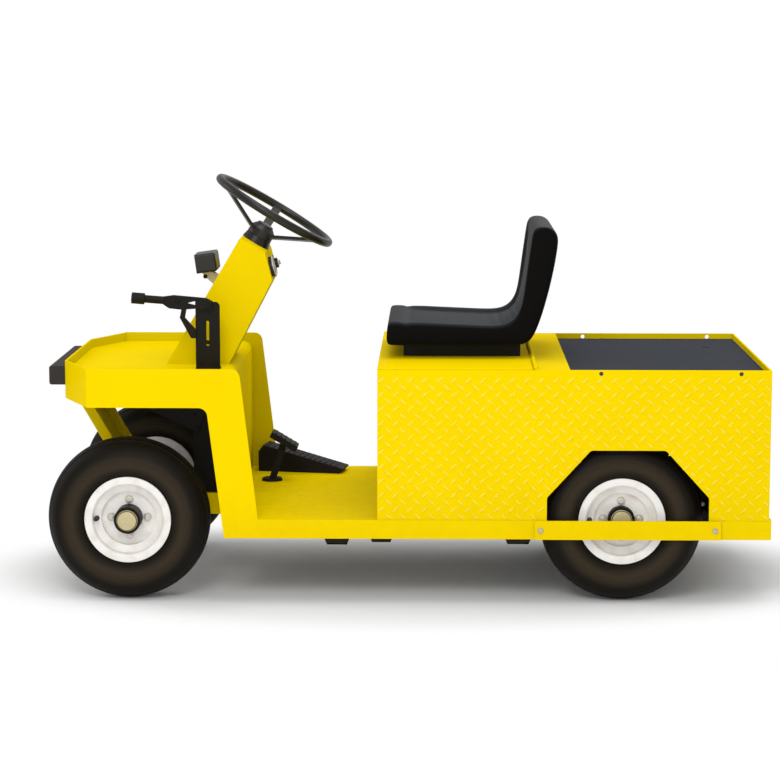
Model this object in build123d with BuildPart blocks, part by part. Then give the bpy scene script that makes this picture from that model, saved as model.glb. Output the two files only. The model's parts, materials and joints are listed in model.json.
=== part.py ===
# Electric baggage tug: body of steel plate, four pneumatic tyres, a steering column and a hinged seat lid.
# Frame: +X forward, +Y left, +Z up, origin on the floor under the middle of the overall box. Millimetres.
import os
from math import cos, radians, sin

from build123d import *

os.makedirs("parts", exist_ok=True)

# Overall sizes
body_width = 890.0
front_overhang = 240.5
rear_axle_setback = 404.5
wheel_inset = 85.0

# Sheet and plate
frame_plate = 6.0
sheet = 4.0
seat_gap = 0.3

# Wheels
tyre_radius = 228.5
tyre_width = 140.0
bead_radius = 101.6
flange_radius = 121.5
rim_width = 102.0
rim_wall = 4.0
disc_offset = 8.0
disc_thickness = 6.0
stud_circle_radius = 51.0
stud_hole_radius = 6.5
hub_radius = 37.5
spindle_radius = 17.0
running_gap = 0.3
front_hub_reach = 62.0
rear_hub_reach = 30.0
cap_radius = 28.0
cap_length = 9.0

# Heights
deck_z = 658.0
tray_z = 632.0
band_height = 108.0
floor_z = 237.0
sill_height = 53.0

# Front body
bumper_depth = 49.0
bumper_height = 54.0
bumper_length = 480.0
bumper_drop = 18.0
bumper_round = 7.0
wall_flat_width = 510.0
chamfer_length = 86.0
firewall_setback = 480.0
bend_radius = 25.0
leg_foot_width = 95.0
leg_head_width = 91.0
leg_lean = 50.0
leg_setback = 29.0
leg_corner_radius = 25.0

# Rear body
lid_length = 429.0
footwell_length = 411.0
strip_length = 103.0
deck_length = 548.0
deck_recess = 16.0
mat_thickness = 5.0
panel_inset = 2.0
arch_width = 449.0
arch_side_height = 64.0
arch_height = 197.0
arch_top_width = 207.0
arch_corner_radius = 14.0
arch_shift = 13.5
stake_hole_radius = 6.0
stake_hole_drop = 10.0
stake_hole_spacing = 385.0
stake_hole_setback = 84.0
bar_thickness = 6.0
bar_overlap = 34.0

# Steering
column_lean = 31.0
column_width = 260.0
column_foot_length = 180.0
column_head_length = 83.4
column_height = 364.5
column_front_lean = 215.0
gauge_face_height = 80.0
steering_wheel_radius = 194.0
rim_tube_radius = 12.0
steering_wheel_rise = 108.0
spoke_count = 3
steering_hub_radius = 38.0
boot_height = 20.0
kingpin_inset = 98.0
kingpin_radius = 12.7
steering_arm_length = 110.0

# Seat
seat_width = 483.0
cushion_height = 69.0
backrest_rise = 340.0
seat_base_height = 36.0
seat_base_width = 336.0
seat_setback = 20.0
base_setback = 69.0
base_rear_margin = 26.0

# Hitch
hitch_reach = 57.0
hitch_pin_radius = 13.0
jaw_thickness = 16.0
jaw_opening = 42.0
jaw_width = 96.0
hitch_height = 300.0

# Places worked out from the sizes above
half_width = body_width / 2
front_length = bumper_depth + firewall_setback + footwell_length
rear_length = lid_length + strip_length + deck_length + frame_plate + hitch_reach
overall_length = front_length + rear_length
front_x = overall_length / 2
rear_x = -overall_length / 2
axle_z = tyre_radius
front_axle_x = front_x - front_overhang
wheel_y = half_width - wheel_inset
wall_x = front_x - bumper_depth
chamfer_x = wall_x - chamfer_length
firewall_x = wall_x - firewall_setback
band_z = deck_z - band_height
sill_z = floor_z - sill_height
inner_y = half_width - frame_plate
box_front_x = firewall_x - footwell_length
hinge_x = box_front_x - lid_length
strip_rear_x = hinge_x - strip_length
tail_x = strip_rear_x - deck_length - frame_plate
rear_axle_x = tail_x + rear_axle_setback
panel_y = half_width - panel_inset
panel_inner_y = panel_y - frame_plate
arch_x = rear_axle_x - arch_shift
arch_front_x = arch_x + arch_width / 2
arch_rear_x = arch_x - arch_width / 2


def write(piece, name):
    """Label a finished piece and write it to its own file."""
    piece.part.label = name
    export_step(piece.part, f"parts/{name}.step")


def side_plane(side, y):
    """Sketch plane at a distance y from the middle, on the left (1) or the right (-1)."""
    return Plane.XZ.offset(-side * y)


def box_between(x0, x1, y0, y1, z0, z1, mode=Mode.ADD):
    """Box between two corners."""
    with Locations(((x0 + x1) / 2, (y0 + y1) / 2, (z0 + z1) / 2)):
        return Box(abs(x1 - x0), abs(y1 - y0), abs(z1 - z0), mode=mode)


# Side frames: cowl band, leg and sill cut from one plate on each side
leg_rear_top_x = firewall_x - leg_setback
leg_rear_foot_x = leg_rear_top_x - leg_lean
leg_front_foot_x = leg_rear_foot_x + leg_foot_width
leg_front_top_x = leg_rear_top_x + leg_head_width
sill_rear_x = arch_front_x


def side_frame(side, name):
    with BuildPart() as plate:
        with BuildSketch(side_plane(side, half_width)) as outline:
            Polygon(
                (chamfer_x, deck_z),
                (leg_rear_top_x, deck_z),
                (leg_rear_foot_x, floor_z),
                (sill_rear_x, floor_z),
                (sill_rear_x, sill_z),
                (leg_front_foot_x, sill_z),
                (leg_front_top_x, band_z),
                (chamfer_x, band_z),
                align=None,
            )
            corners = outline.vertices()
            rounded = [
                corners.sort_by_distance((leg_rear_top_x, deck_z))[0],
                corners.sort_by_distance((leg_front_top_x, band_z))[0],
            ]
            fillet(rounded, leg_corner_radius)
        extrude(amount=side * frame_plate)
    write(plate, name)


side_frame(1, "side_frame_left")
side_frame(-1, "side_frame_right")


def tray_outline():
    """Plan of the front tray, with its two chamfered corners, as far back as the firewall."""
    Polygon(
        (firewall_x, half_width),
        (chamfer_x, half_width),
        (wall_x, wall_flat_width / 2),
        (wall_x, -wall_flat_width / 2),
        (chamfer_x, -half_width),
        (firewall_x, -half_width),
        align=None,
    )


# Front wall: one plate bent twice, between the front ends of the two cowl bands
with BuildPart() as front_wall:
    with BuildSketch(Plane.XY.offset(band_z)):
        tray_outline()
        offset(amount=-frame_plate, mode=Mode.SUBTRACT)
        with Locations(((chamfer_x + wall_x) / 2, 0)):
            Rectangle(chamfer_length, body_width, mode=Mode.INTERSECT)
    extrude(amount=band_height)
write(front_wall, "front_wall")

# Cowl plate: tray floor bent down into the firewall
with BuildPart() as cowl_plate:
    with BuildSketch(side_plane(1, inner_y)) as profile:
        Polygon(
            (wall_x, tray_z),
            (firewall_x, tray_z),
            (firewall_x, floor_z),
            (firewall_x + sheet, floor_z),
            (firewall_x + sheet, tray_z - sheet),
            (wall_x, tray_z - sheet),
            align=None,
        )
        bends = profile.vertices()
        fillet(bends.sort_by_distance((firewall_x, tray_z))[0], bend_radius)
        bends = profile.vertices()
        fillet(bends.sort_by_distance((firewall_x + sheet, tray_z - sheet))[0], bend_radius - sheet)
    extrude(amount=2 * inner_y)
    with BuildSketch(Plane.XY.offset(floor_z)):
        tray_outline()
        offset(amount=-frame_plate, kind=Kind.INTERSECTION, mode=Mode.REPLACE)
        with Locations((firewall_x, 0)):
            Rectangle(2 * frame_plate, 2 * inner_y)
    extrude(amount=deck_z - floor_z, mode=Mode.INTERSECT)
write(cowl_plate, "cowl_plate")

# Bumper: solid rubber bar with rounded edges on the front wall
bumper_top_z = deck_z - bumper_drop
with BuildPart() as bumper:
    box_between(
        wall_x, front_x, -bumper_length / 2, bumper_length / 2, bumper_top_z - bumper_height, bumper_top_z
    )
    fillet(bumper.faces().sort_by(Axis.X)[-1].edges(), bumper_round)
write(bumper, "bumper")

# Front axle beam and what joins it to the cowl and the floor
beam_size = 64.0
strut_y = 120.0
strut_width = 36.0
strut_length = 33.0
strut_slope = 0.58
strut_plate = 6.0
rail_y = 140.0
rail_width = 36.0
rail_height = 61.0
beam_top_z = axle_z + beam_size / 2
strut_foot_x = front_axle_x - strut_length / 2
wall_back_x = wall_x - frame_plate
strut_meet_z = beam_top_z + (wall_back_x - strut_foot_x - strut_length) / strut_slope
strut_head_z = beam_top_z + (wall_back_x - strut_foot_x) / strut_slope
plate_foot_z = beam_top_z + 2 * strut_plate
plate_head_z = strut_meet_z - 2 * strut_plate


def strut_front_x(z):
    """Where the sloping front of the struts is at a height."""
    return strut_foot_x + strut_length + (z - beam_top_z) * strut_slope


with BuildPart() as front_struts:
    with BuildSketch(side_plane(1, strut_y + strut_width / 2)):
        Polygon(
            (strut_foot_x, beam_top_z),
            (strut_foot_x + strut_length, beam_top_z),
            (wall_back_x, strut_meet_z),
            (wall_back_x, strut_head_z),
            align=None,
        )
    extrude(amount=strut_width)
    mirror(about=Plane.XZ)
    with BuildSketch(side_plane(1, strut_y)):
        Polygon(
            (strut_front_x(plate_foot_z) - 2 * strut_plate, plate_foot_z),
            (strut_front_x(plate_foot_z) - strut_plate, plate_foot_z),
            (strut_front_x(plate_head_z) - strut_plate, plate_head_z),
            (strut_front_x(plate_head_z) - 2 * strut_plate, plate_head_z),
            align=None,
        )
    extrude(amount=2 * strut_y)
write(front_struts, "front_struts")

with BuildPart() as front_rails:
    box_between(
        firewall_x + sheet,
        front_axle_x - beam_size / 2,
        rail_y - rail_width / 2,
        rail_y + rail_width / 2,
        axle_z - rail_height / 2,
        axle_z + rail_height / 2,
    )
    mirror(about=Plane.XZ)
write(front_rails, "front_rails")

# Splash plates: gussets that hang under the tray, and panels that stand on the rails behind them
splash_offset = 7.0
splash_y = rail_y + rail_width / 2 + splash_offset
splash_front_drop = 118.0
splash_rear_drop = 194.0
splash_setback = 92.0
splash_rear_x = firewall_x + splash_setback
splash_foot_length = 23.0
splash_front_gap = 9.0
splash_front_x = front_axle_x - splash_front_gap
guard_length = 124.0
with BuildPart() as splash_plates:
    with BuildSketch(side_plane(1, splash_y)):
        Polygon(
            (splash_front_x, tray_z - sheet),
            (splash_front_x, tray_z - splash_front_drop),
            (splash_rear_x + splash_foot_length, tray_z - splash_rear_drop),
            (splash_rear_x, tray_z - splash_front_drop - splash_foot_length),
            (splash_rear_x - splash_foot_length, tray_z - sheet),
            align=None,
        )
    extrude(amount=sheet)
    with BuildSketch(side_plane(1, rail_y + sheet / 2)):
        Polygon(
            (firewall_x + sheet + guard_length, axle_z + rail_height / 2),
            (firewall_x + sheet + guard_length, tray_z - sheet),
            (firewall_x + sheet + bend_radius, tray_z - sheet),
            (firewall_x + sheet, tray_z - sheet - bend_radius),
            (firewall_x + sheet, axle_z + rail_height / 2),
            align=None,
        )
    extrude(amount=sheet)
    mirror(about=Plane.XZ)
write(splash_plates, "splash_plates")

# Steering column box, folded from sheet, standing on the tray floor
gauge_face_lean = 20.0
column_fold_radius = 5.0
column_foot_rear_x = firewall_x + bend_radius
column_foot_front_x = column_foot_rear_x + column_foot_length
column_top_front_x = column_foot_front_x - column_front_lean
column_top_front_z = tray_z + column_height
column_top_rear_x = column_top_front_x - column_head_length * cos(radians(column_lean))
column_top_rear_z = column_top_front_z - column_head_length * sin(radians(column_lean))
gauge_foot_x = column_top_rear_x - gauge_face_lean
gauge_foot_z = column_top_rear_z - gauge_face_height
with BuildPart() as column_box:
    with BuildSketch(side_plane(1, column_width / 2)) as profile:
        Polygon(
            (column_foot_front_x, tray_z),
            (column_top_front_x, column_top_front_z),
            (column_top_rear_x, column_top_rear_z),
            (gauge_foot_x, gauge_foot_z),
            (column_foot_rear_x, tray_z),
            align=None,
        )
        fillet(profile.vertices().sort_by(Axis.Y)[2:], column_fold_radius)
    extrude(amount=column_width)
write(column_box, "column_box")


def column_front_x(z):
    """Where the sloping front face of the column box is at a height."""
    return column_foot_front_x - column_front_lean * (z - tray_z) / column_height


# Steering axis: square to the top of the column box, through its middle
lean = radians(column_lean)
steering_foot = Vector(
    (column_top_front_x + column_top_rear_x) / 2, 0, (column_top_front_z + column_top_rear_z) / 2
)
steering_plane = Plane(origin=steering_foot, x_dir=(cos(lean), 0, sin(lean)), z_dir=(-sin(lean), 0, cos(lean)))
steering_axis = Axis(steering_foot, steering_plane.z_dir)


def steering_section(angle):
    """Plane through the steering axis: across is the distance from the axis, up is along it."""
    turned = Location((0, 0, 0), (0, 0, angle)) * Location((0, 0, 0), (90, 0, 0))
    return Plane(steering_plane.location * turned)


# Boot round the steering shaft
shaft_radius = 10.0
boot_taper = 5.0
with BuildPart() as column_boot:
    with BuildSketch(steering_section(0)):
        Polygon(
            (shaft_radius + running_gap, 0),
            (steering_hub_radius + boot_taper, 0),
            (steering_hub_radius, boot_height),
            (shaft_radius + running_gap, boot_height),
            align=None,
        )
    revolve(axis=steering_axis)
write(column_boot, "column_boot")

# Steering wheel: round rim, three dished spokes and a hub with its shaft
steering_hub_height = 34.0
hub_gap = 1.0
hub_crown = 12.0
spoke_width = 26.0
spoke_thickness = 10.0
spoke_root = 0.55 * steering_hub_radius
spoke_root_rise = 3.0
rim_centre_radius = steering_wheel_radius - rim_tube_radius
hub_foot = boot_height + hub_gap
hub_top = hub_foot + steering_hub_height
with BuildPart() as steering_wheel:
    with BuildSketch(steering_section(0)):
        Polygon(
            (0, hub_gap),
            (shaft_radius, hub_gap),
            (shaft_radius, hub_foot),
            (steering_hub_radius, hub_foot),
            (steering_hub_radius, hub_top - hub_crown),
            (steering_hub_radius - hub_crown, hub_top),
            (0, hub_top),
            align=None,
        )
        with Locations((rim_centre_radius, steering_wheel_rise)):
            Circle(rim_tube_radius)
    revolve(axis=steering_axis)
    for number in range(spoke_count):
        with BuildSketch(steering_section(-90 + number * 360 / spoke_count)):
            Polygon(
                (spoke_root, hub_foot + spoke_root_rise),
                (spoke_root, hub_foot + spoke_root_rise + spoke_thickness),
                (rim_centre_radius, steering_wheel_rise + spoke_thickness / 2),
                (rim_centre_radius, steering_wheel_rise - spoke_thickness / 2),
                align=None,
            )
        extrude(amount=spoke_width / 2, both=True)
write(steering_wheel, "steering_wheel")

# Gauge panel on the rear face of the column box: backing plate, round gauge and key switch
gauge_lean = Vector(gauge_foot_x - column_top_rear_x, 0, gauge_foot_z - column_top_rear_z).normalized()
gauge_plane = Plane(
    origin=((column_top_rear_x + gauge_foot_x) / 2, 0, (column_top_rear_z + gauge_foot_z) / 2),
    x_dir=(0, -1, 0),
    z_dir=(gauge_lean.Z, 0, -gauge_lean.X),
)
gauge_panel_width = 200.0
gauge_panel_height = 46.0
gauge_panel_round = 6.0
gauge_backing = 3.0
gauge_depth = 9.0
gauge_drop = 7.0
gauge_radius = 30.0
gauge_spacing = 120.0
key_depth = 14.0
with BuildPart() as gauge_panel:
    with BuildSketch(gauge_plane):
        with Locations((0, -gauge_drop)):
            RectangleRounded(gauge_panel_width, gauge_panel_height, gauge_panel_round)
    extrude(amount=gauge_backing)
    with BuildSketch(gauge_plane):
        with Locations((-gauge_spacing / 2, -gauge_drop)):
            Circle(gauge_radius)
    extrude(amount=gauge_depth)
    with BuildSketch(gauge_plane):
        with Locations((gauge_spacing / 2, -gauge_drop)):
            Circle(gauge_radius / 2)
    extrude(amount=key_depth)
write(gauge_panel, "gauge_panel")

# Head lamp: square housing tipped down, with a recessed lens, on a strap from the column box
lamp_depth = 60.0
lamp_width = 120.0
lamp_height = 55.0
lamp_tilt = radians(8.0)
lamp_rise = 286.0
lamp_reach = 59.5
lamp_corner = 6.0
lamp_back_bevel = 4.0
lamp_wall = 5.0
lens_recess = 4.0
strap_width = 40.0
strap_ahead = 20.0
strap_behind = 8.0
strap_depth = 14.0
strap_top_drop = 41.0
strap_foot_drop = 66.0
lamp_z = tray_z + lamp_rise
lamp_forward = Vector(cos(lamp_tilt), 0, -sin(lamp_tilt))
lamp_up = Vector(sin(lamp_tilt), 0, cos(lamp_tilt))
lamp_centre = Vector(column_front_x(lamp_z) + lamp_reach, 0, lamp_z)
lamp_plane = Plane(origin=lamp_centre, x_dir=(0, 1, 0), z_dir=lamp_forward)
with BuildPart() as head_lamp:
    with BuildSketch(lamp_plane):
        RectangleRounded(lamp_width, lamp_height, lamp_corner)
    extrude(amount=lamp_depth / 2, both=True)
    chamfer(head_lamp.faces().sort_by(Axis.X)[0].edges(), lamp_back_bevel)
    with BuildSketch(lamp_plane.offset(lamp_depth / 2)):
        Rectangle(lamp_width - 2 * lamp_wall, lamp_height - 2 * lamp_wall)
    extrude(amount=-lens_recess, mode=Mode.SUBTRACT)
write(head_lamp, "head_lamp")

lamp_base = lamp_centre - lamp_up * (lamp_height / 2)
strap_tip = lamp_base + lamp_forward * strap_ahead
strap_heel = lamp_base - lamp_forward * strap_behind
strap_corner = strap_tip - lamp_up * strap_depth - lamp_forward * strap_behind
with BuildPart() as lamp_bracket:
    with BuildSketch(side_plane(1, strap_width / 2)):
        Polygon(
            (strap_tip.X, strap_tip.Z),
            (strap_heel.X, strap_heel.Z),
            (column_front_x(lamp_z - strap_top_drop), lamp_z - strap_top_drop),
            (column_front_x(lamp_z - strap_foot_drop), lamp_z - strap_foot_drop),
            (strap_corner.X, strap_corner.Z),
            align=None,
        )
    extrude(amount=strap_width)
write(lamp_bracket, "lamp_bracket")

# Parking brake: slotted bracket on the tray floor, lever with a round grip and its link
brake_inset = 199.0
brake_y = inner_y - brake_inset
bracket_plate = 5.0
bracket_length = 69.0
bracket_height = 192.0
bracket_setback = 40.0
bracket_round = 14.0
bracket_rear_x = firewall_x + bracket_setback
bracket_front_x = bracket_rear_x + bracket_length
bracket_slot_width = 8.0
bracket_slot_height = 72.0
bracket_foot_width = 30.0
with BuildPart() as brake_bracket:
    with BuildSketch(side_plane(1, brake_y)) as profile:
        Polygon(
            (bracket_rear_x, tray_z),
            (bracket_front_x, tray_z),
            (bracket_front_x, tray_z + bracket_height),
            (bracket_rear_x, tray_z + bracket_height),
            align=None,
        )
        fillet(profile.vertices().sort_by_distance((bracket_rear_x, tray_z + bracket_height))[0], bracket_round)
        with Locations((bracket_rear_x + bracket_length / 2, tray_z + bracket_height * 0.53)):
            SlotOverall(bracket_slot_height, bracket_slot_width, rotation=90, mode=Mode.SUBTRACT)
    extrude(amount=bracket_plate)
    box_between(
        bracket_rear_x,
        bracket_front_x,
        brake_y - bracket_foot_width,
        brake_y - bracket_plate,
        tray_z,
        tray_z + bracket_plate,
    )
write(brake_bracket, "brake_bracket")

lever_plate = 12.0
lever_length = 124.0
lever_deep = 43.0
link_drop = 91.0
grip_tilt = radians(4.4)
grip_length = 92.0
grip_radius = 11.0
knob_length = 36.0
knob_radius = 16.0
lever_y = brake_y + lever_plate
lever_pivot_x = bracket_rear_x + 0.47 * bracket_length
lever_pivot_z = tray_z + 0.94 * bracket_height


def lever_point(along, rise):
    """Point of the lever plate, as shares of its length and depth from the pivot."""
    return (lever_pivot_x + along * lever_length, lever_pivot_z + rise * lever_deep)


def link_point(along, drop):
    """Point of the link, as shares of the lever's length and of the link's drop."""
    return (lever_pivot_x + along * lever_length, lever_pivot_z - drop * link_drop)


grip_x, grip_z = lever_point(1.0, 0.375)
grip_plane = Plane(
    origin=(grip_x, lever_y - lever_plate / 2, grip_z),
    x_dir=(0, 1, 0),
    z_dir=(cos(grip_tilt), 0, sin(grip_tilt)),
)
with BuildPart() as brake_lever:
    with BuildSketch(side_plane(1, lever_y)):
        Polygon(
            lever_point(-0.10, -0.28),
            lever_point(0.27, -0.16),
            lever_point(0.60, -0.23),
            lever_point(0.89, -0.14),
            lever_point(1.02, 0.12),
            lever_point(1.02, 0.63),
            lever_point(0.78, 0.72),
            lever_point(0.04, 0.53),
            lever_point(-0.10, 0.33),
            align=None,
        )
        Polygon(
            lever_point(0.48, 0.20),
            lever_point(0.29, 0.34),
            lever_point(0.29, 0.06),
            align=None,
            mode=Mode.SUBTRACT,
        )
        Polygon(
            lever_point(0.60, -0.14),
            link_point(0.645, 0.36),
            link_point(0.39, 1.0),
            link_point(0.28, 1.0),
            link_point(0.28, 0.74),
            link_point(0.53, 0.36),
            lever_point(0.49, -0.14),
            align=None,
        )
    extrude(amount=lever_plate)
    with BuildSketch(grip_plane):
        Circle(grip_radius)
    extrude(amount=grip_length)
    with BuildSketch(grip_plane.offset(grip_length - knob_length)):
        Circle(knob_radius)
    extrude(amount=knob_length)
write(brake_lever, "brake_lever")

# Brake pedal: floor boot, leaning arm and a tilted pad
pedal_inset = 254.0
pedal_setback = 77.0
pedal_y = pedal_inset - inner_y
pedal_x = firewall_x - pedal_setback
pedal_height = 122.0
pedal_lean = 38.0
pad_length = 90.0
pad_width = 70.0
pad_thickness = 18.0
pad_tilt = 31.0
pad_round = 4.0
arm_width = 16.0
arm_depth = 22.0
boot_radius = 32.0
boot_rise = 8.0
with BuildPart() as brake_pedal:
    with BuildSketch(Plane.XY.offset(floor_z)):
        with Locations((pedal_x, pedal_y)):
            Circle(boot_radius)
    extrude(amount=boot_rise, taper=20)
    with BuildSketch(Plane.XZ.offset(-pedal_y - arm_width / 2)):
        Polygon(
            (pedal_x - arm_depth / 2, floor_z),
            (pedal_x + arm_depth / 2, floor_z),
            (pedal_x + arm_depth / 2 - pedal_lean, floor_z + pedal_height),
            (pedal_x - arm_depth / 2 - pedal_lean, floor_z + pedal_height),
            align=None,
        )
    extrude(amount=arm_width)
    with BuildSketch(Plane.XZ.offset(-pedal_y - pad_width / 2)) as pad:
        with Locations((pedal_x - pedal_lean, floor_z + pedal_height)):
            Rectangle(pad_length, pad_thickness, rotation=pad_tilt)
        fillet(pad.vertices(), pad_round)
    extrude(amount=pad_width)
write(brake_pedal, "brake_pedal")

# Accelerator: wedge housing on the floor with a sloping treadle, turned a little outwards
treadle_inset = 93.0
treadle_setback = 24.0
treadle_width = 84.0
treadle_length = 270.0
treadle_heel = 15.0
treadle_rise = 82.0
treadle_round = 3.0
treadle_turn = radians(10.5)
treadle_plane = Plane(
    origin=(firewall_x - treadle_setback, treadle_inset - inner_y, floor_z),
    x_dir=(cos(treadle_turn), -sin(treadle_turn), 0),
    z_dir=(-sin(treadle_turn), -cos(treadle_turn), 0),
)
with BuildPart() as accelerator_pedal:
    with BuildSketch(treadle_plane) as wedge:
        Polygon(
            (0, 0),
            (0, treadle_rise * 0.75),
            (-treadle_heel, treadle_rise),
            (-treadle_length, treadle_heel),
            (treadle_heel - treadle_length, 0),
            align=None,
        )
        fillet(wedge.vertices().sort_by(Axis.X)[0], treadle_round)
    extrude(amount=treadle_width)
write(accelerator_pedal, "accelerator_pedal")

# Floor plate and the frame under it: two rails, three cross members and two jack pads
floor_sheet = 6.0
floor_bottom_z = floor_z - floor_sheet
well_clearance = 18.0
well_sheet = 3.0
well_half_length = tyre_radius + well_clearance
bulkhead_x = rear_axle_x + well_half_length + well_sheet
floor_rear_x = bulkhead_x
with BuildPart() as floor_plate:
    box_between(floor_rear_x, firewall_x + sheet, -inner_y, inner_y, floor_bottom_z, floor_z)
write(floor_plate, "floor_plate")

cross_member = 50.0
cross_count = 3
frame_span = firewall_x + sheet - floor_rear_x
jack_inset = 139.0
jack_y = inner_y - jack_inset
jack_top_length = 80.0
jack_foot_length = 52.0
jack_depth = 34.0
jack_width = 50.0
jack_x = floor_rear_x + frame_span * 0.5
with BuildPart() as floor_frame:
    for side in (1, -1):
        rail_inner = side * (rail_y - rail_width / 2)
        rail_outer = side * (rail_y + rail_width / 2)
        box_between(floor_rear_x, firewall_x + sheet, rail_inner, rail_outer, sill_z, floor_bottom_z)
    for number in range(cross_count):
        middle_x = floor_rear_x + frame_span * (number + 0.5) / cross_count
        box_between(
            middle_x - cross_member / 2, middle_x + cross_member / 2, -inner_y, inner_y, sill_z, floor_bottom_z
        )
    for side in (1, -1):
        with BuildSketch(side_plane(1, side * jack_y + jack_width / 2)):
            Polygon(
                (jack_x - jack_top_length / 2, sill_z),
                (jack_x + jack_top_length / 2, sill_z),
                (jack_x + jack_foot_length / 2, sill_z - jack_depth),
                (jack_x - jack_foot_length / 2, sill_z - jack_depth),
                align=None,
            )
        extrude(amount=jack_width)
write(floor_frame, "floor_frame")

# Battery pack: one plain block between the seat box front and the bulkhead
battery_clearance = 20.0
battery_height = 330.0
battery_front_x = box_front_x - frame_plate - battery_clearance
with BuildPart() as battery_pack:
    box_between(
        floor_rear_x + battery_clearance,
        battery_front_x,
        -panel_inner_y + battery_clearance,
        panel_inner_y - battery_clearance,
        floor_z,
        floor_z + battery_height,
    )
    fillet(battery_pack.edges().filter_by(Axis.Z), 8.0)
write(battery_pack, "battery_pack")


# Rear side panels: plate with the wheel arch cut out and two stake holes near the top edge
stake_hole_rear_x = tail_x + stake_hole_setback


def arch_outline():
    """Wheel arch: upright sides, slanted shoulders and a flat top."""
    Polygon(
        (arch_front_x, floor_z - 1.0),
        (arch_front_x, floor_z + arch_side_height),
        (arch_x + arch_top_width / 2, floor_z + arch_height),
        (arch_x - arch_top_width / 2, floor_z + arch_height),
        (arch_rear_x, floor_z + arch_side_height),
        (arch_rear_x, floor_z - 1.0),
        align=None,
    )


def rear_panel(side, name):
    with BuildPart() as panel:
        with BuildSketch(side_plane(side, panel_y)):
            Polygon(
                (box_front_x, deck_z), (tail_x, deck_z), (tail_x, floor_z), (box_front_x, floor_z), align=None
            )
            with BuildSketch(mode=Mode.SUBTRACT) as arch:
                arch_outline()
                fillet(arch.vertices().sort_by(Axis.Y)[2:], arch_corner_radius)
            with Locations(
                (stake_hole_rear_x, deck_z - stake_hole_drop),
                (stake_hole_rear_x + stake_hole_spacing, deck_z - stake_hole_drop),
            ):
                Circle(stake_hole_radius, mode=Mode.SUBTRACT)
        extrude(amount=side * frame_plate)
    write(panel, name)


rear_panel(1, "rear_panel_left")
rear_panel(-1, "rear_panel_right")

# Seat box front and tail panel
with BuildPart() as seat_box_front:
    box_between(box_front_x - frame_plate, box_front_x, -panel_inner_y, panel_inner_y, floor_z, deck_z)
write(seat_box_front, "seat_box_front")

strip_fold = 24.0
strip_z = deck_z - sheet
sill_lip = 4.0
tail_lamp_inset = 107.0
tail_lamp_rise = 257.0
lamp_y = panel_inner_y - tail_lamp_inset
tail_lamp_z = floor_z + tail_lamp_rise
tail_lamp_radius = 45.0
tail_lamp_reach = 7.0
with BuildPart() as tail_panel:
    box_between(tail_x, tail_x + frame_plate, -panel_inner_y, panel_inner_y, floor_z, deck_z)
write(tail_panel, "tail_panel")

with BuildPart() as tail_lamps:
    for side in (1, -1):
        with BuildSketch(Plane.YZ.offset(tail_x)):
            with Locations((side * lamp_y, tail_lamp_z)):
                Circle(tail_lamp_radius)
        extrude(amount=-tail_lamp_reach)
    fillet(tail_lamps.faces().filter_by(Axis.X).sort_by(Axis.X)[:2].edges(), 3.0)
write(tail_lamps, "tail_lamps")

well_rear_x = rear_axle_x - well_half_length - well_sheet

# Side bars: flat bars bolted across the foot of each rear wheel arch
with BuildPart() as side_bars:
    box_between(
        arch_rear_x - bar_overlap,
        arch_front_x + bar_overlap,
        half_width,
        half_width + bar_thickness,
        sill_z,
        floor_z,
    )
    mirror(about=Plane.XZ)
write(side_bars, "side_bars")

# Deck strip: fixed cover behind the seat lid, folded down to the load deck, with the lid's hinge pin
barrel_radius = 6.0
barrel_count = 5
barrel_gap = 2.0
barrel_length = 2 * panel_inner_y / barrel_count
hinge_pin_radius = 3.0
lid_z = deck_z + seat_gap
lid_top_z = lid_z + sheet
hinge_setback = 8.0
hinge_line_x = hinge_x - hinge_setback
hinge_line_z = lid_z + barrel_radius
with BuildPart() as deck_strip:
    with BuildSketch(side_plane(1, panel_inner_y)) as profile:
        Polygon(
            (hinge_x, deck_z),
            (strip_rear_x, deck_z),
            (strip_rear_x, deck_z - strip_fold),
            (strip_rear_x + sheet, deck_z - strip_fold),
            (strip_rear_x + sheet, strip_z),
            (hinge_x, strip_z),
            align=None,
        )
    extrude(amount=2 * panel_inner_y)
    with Locations(Location((hinge_line_x, 0, hinge_line_z), (90, 0, 0))):
        Cylinder(hinge_pin_radius, 2 * panel_inner_y - barrel_gap)
    for number in (-2, 0, 2):
        middle = number * barrel_length
        with Locations(Location((hinge_line_x, middle, hinge_line_z), (90, 0, 0))):
            Cylinder(barrel_radius, barrel_length - barrel_gap)
        box_between(
            hinge_line_x - barrel_radius,
            hinge_line_x,
            middle - (barrel_length - barrel_gap) / 2,
            middle + (barrel_length - barrel_gap) / 2,
            deck_z,
            hinge_line_z,
        )
write(deck_strip, "deck_strip")

# Load deck: lift-out plate with a rubber mat, sunk below the panel edges
mat_z = deck_z - deck_recess
deck_plate_z = mat_z - mat_thickness
deck_rear_x = tail_x + frame_plate
slot_length = 28.0
slot_width = 14.0
slot_x = strip_rear_x - 0.804 * deck_length
slot_y = -0.492 * panel_inner_y
with BuildPart() as deck_plate:
    box_between(deck_rear_x, strip_rear_x, -panel_inner_y, panel_inner_y, deck_plate_z - sheet, deck_plate_z)
    with BuildSketch(Plane.XY.offset(deck_plate_z)):
        with Locations((slot_x, slot_y)):
            SlotOverall(slot_length, slot_width)
    extrude(amount=-sheet, mode=Mode.SUBTRACT)
write(deck_plate, "deck_plate")

with BuildPart() as deck_mat:
    box_between(deck_rear_x, strip_rear_x, -panel_inner_y, panel_inner_y, deck_plate_z, mat_z)
    with BuildSketch(Plane.XY.offset(mat_z)):
        with Locations((slot_x, slot_y)):
            SlotOverall(slot_length, slot_width)
    extrude(amount=-mat_thickness, mode=Mode.SUBTRACT)
write(deck_mat, "deck_mat")

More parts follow.
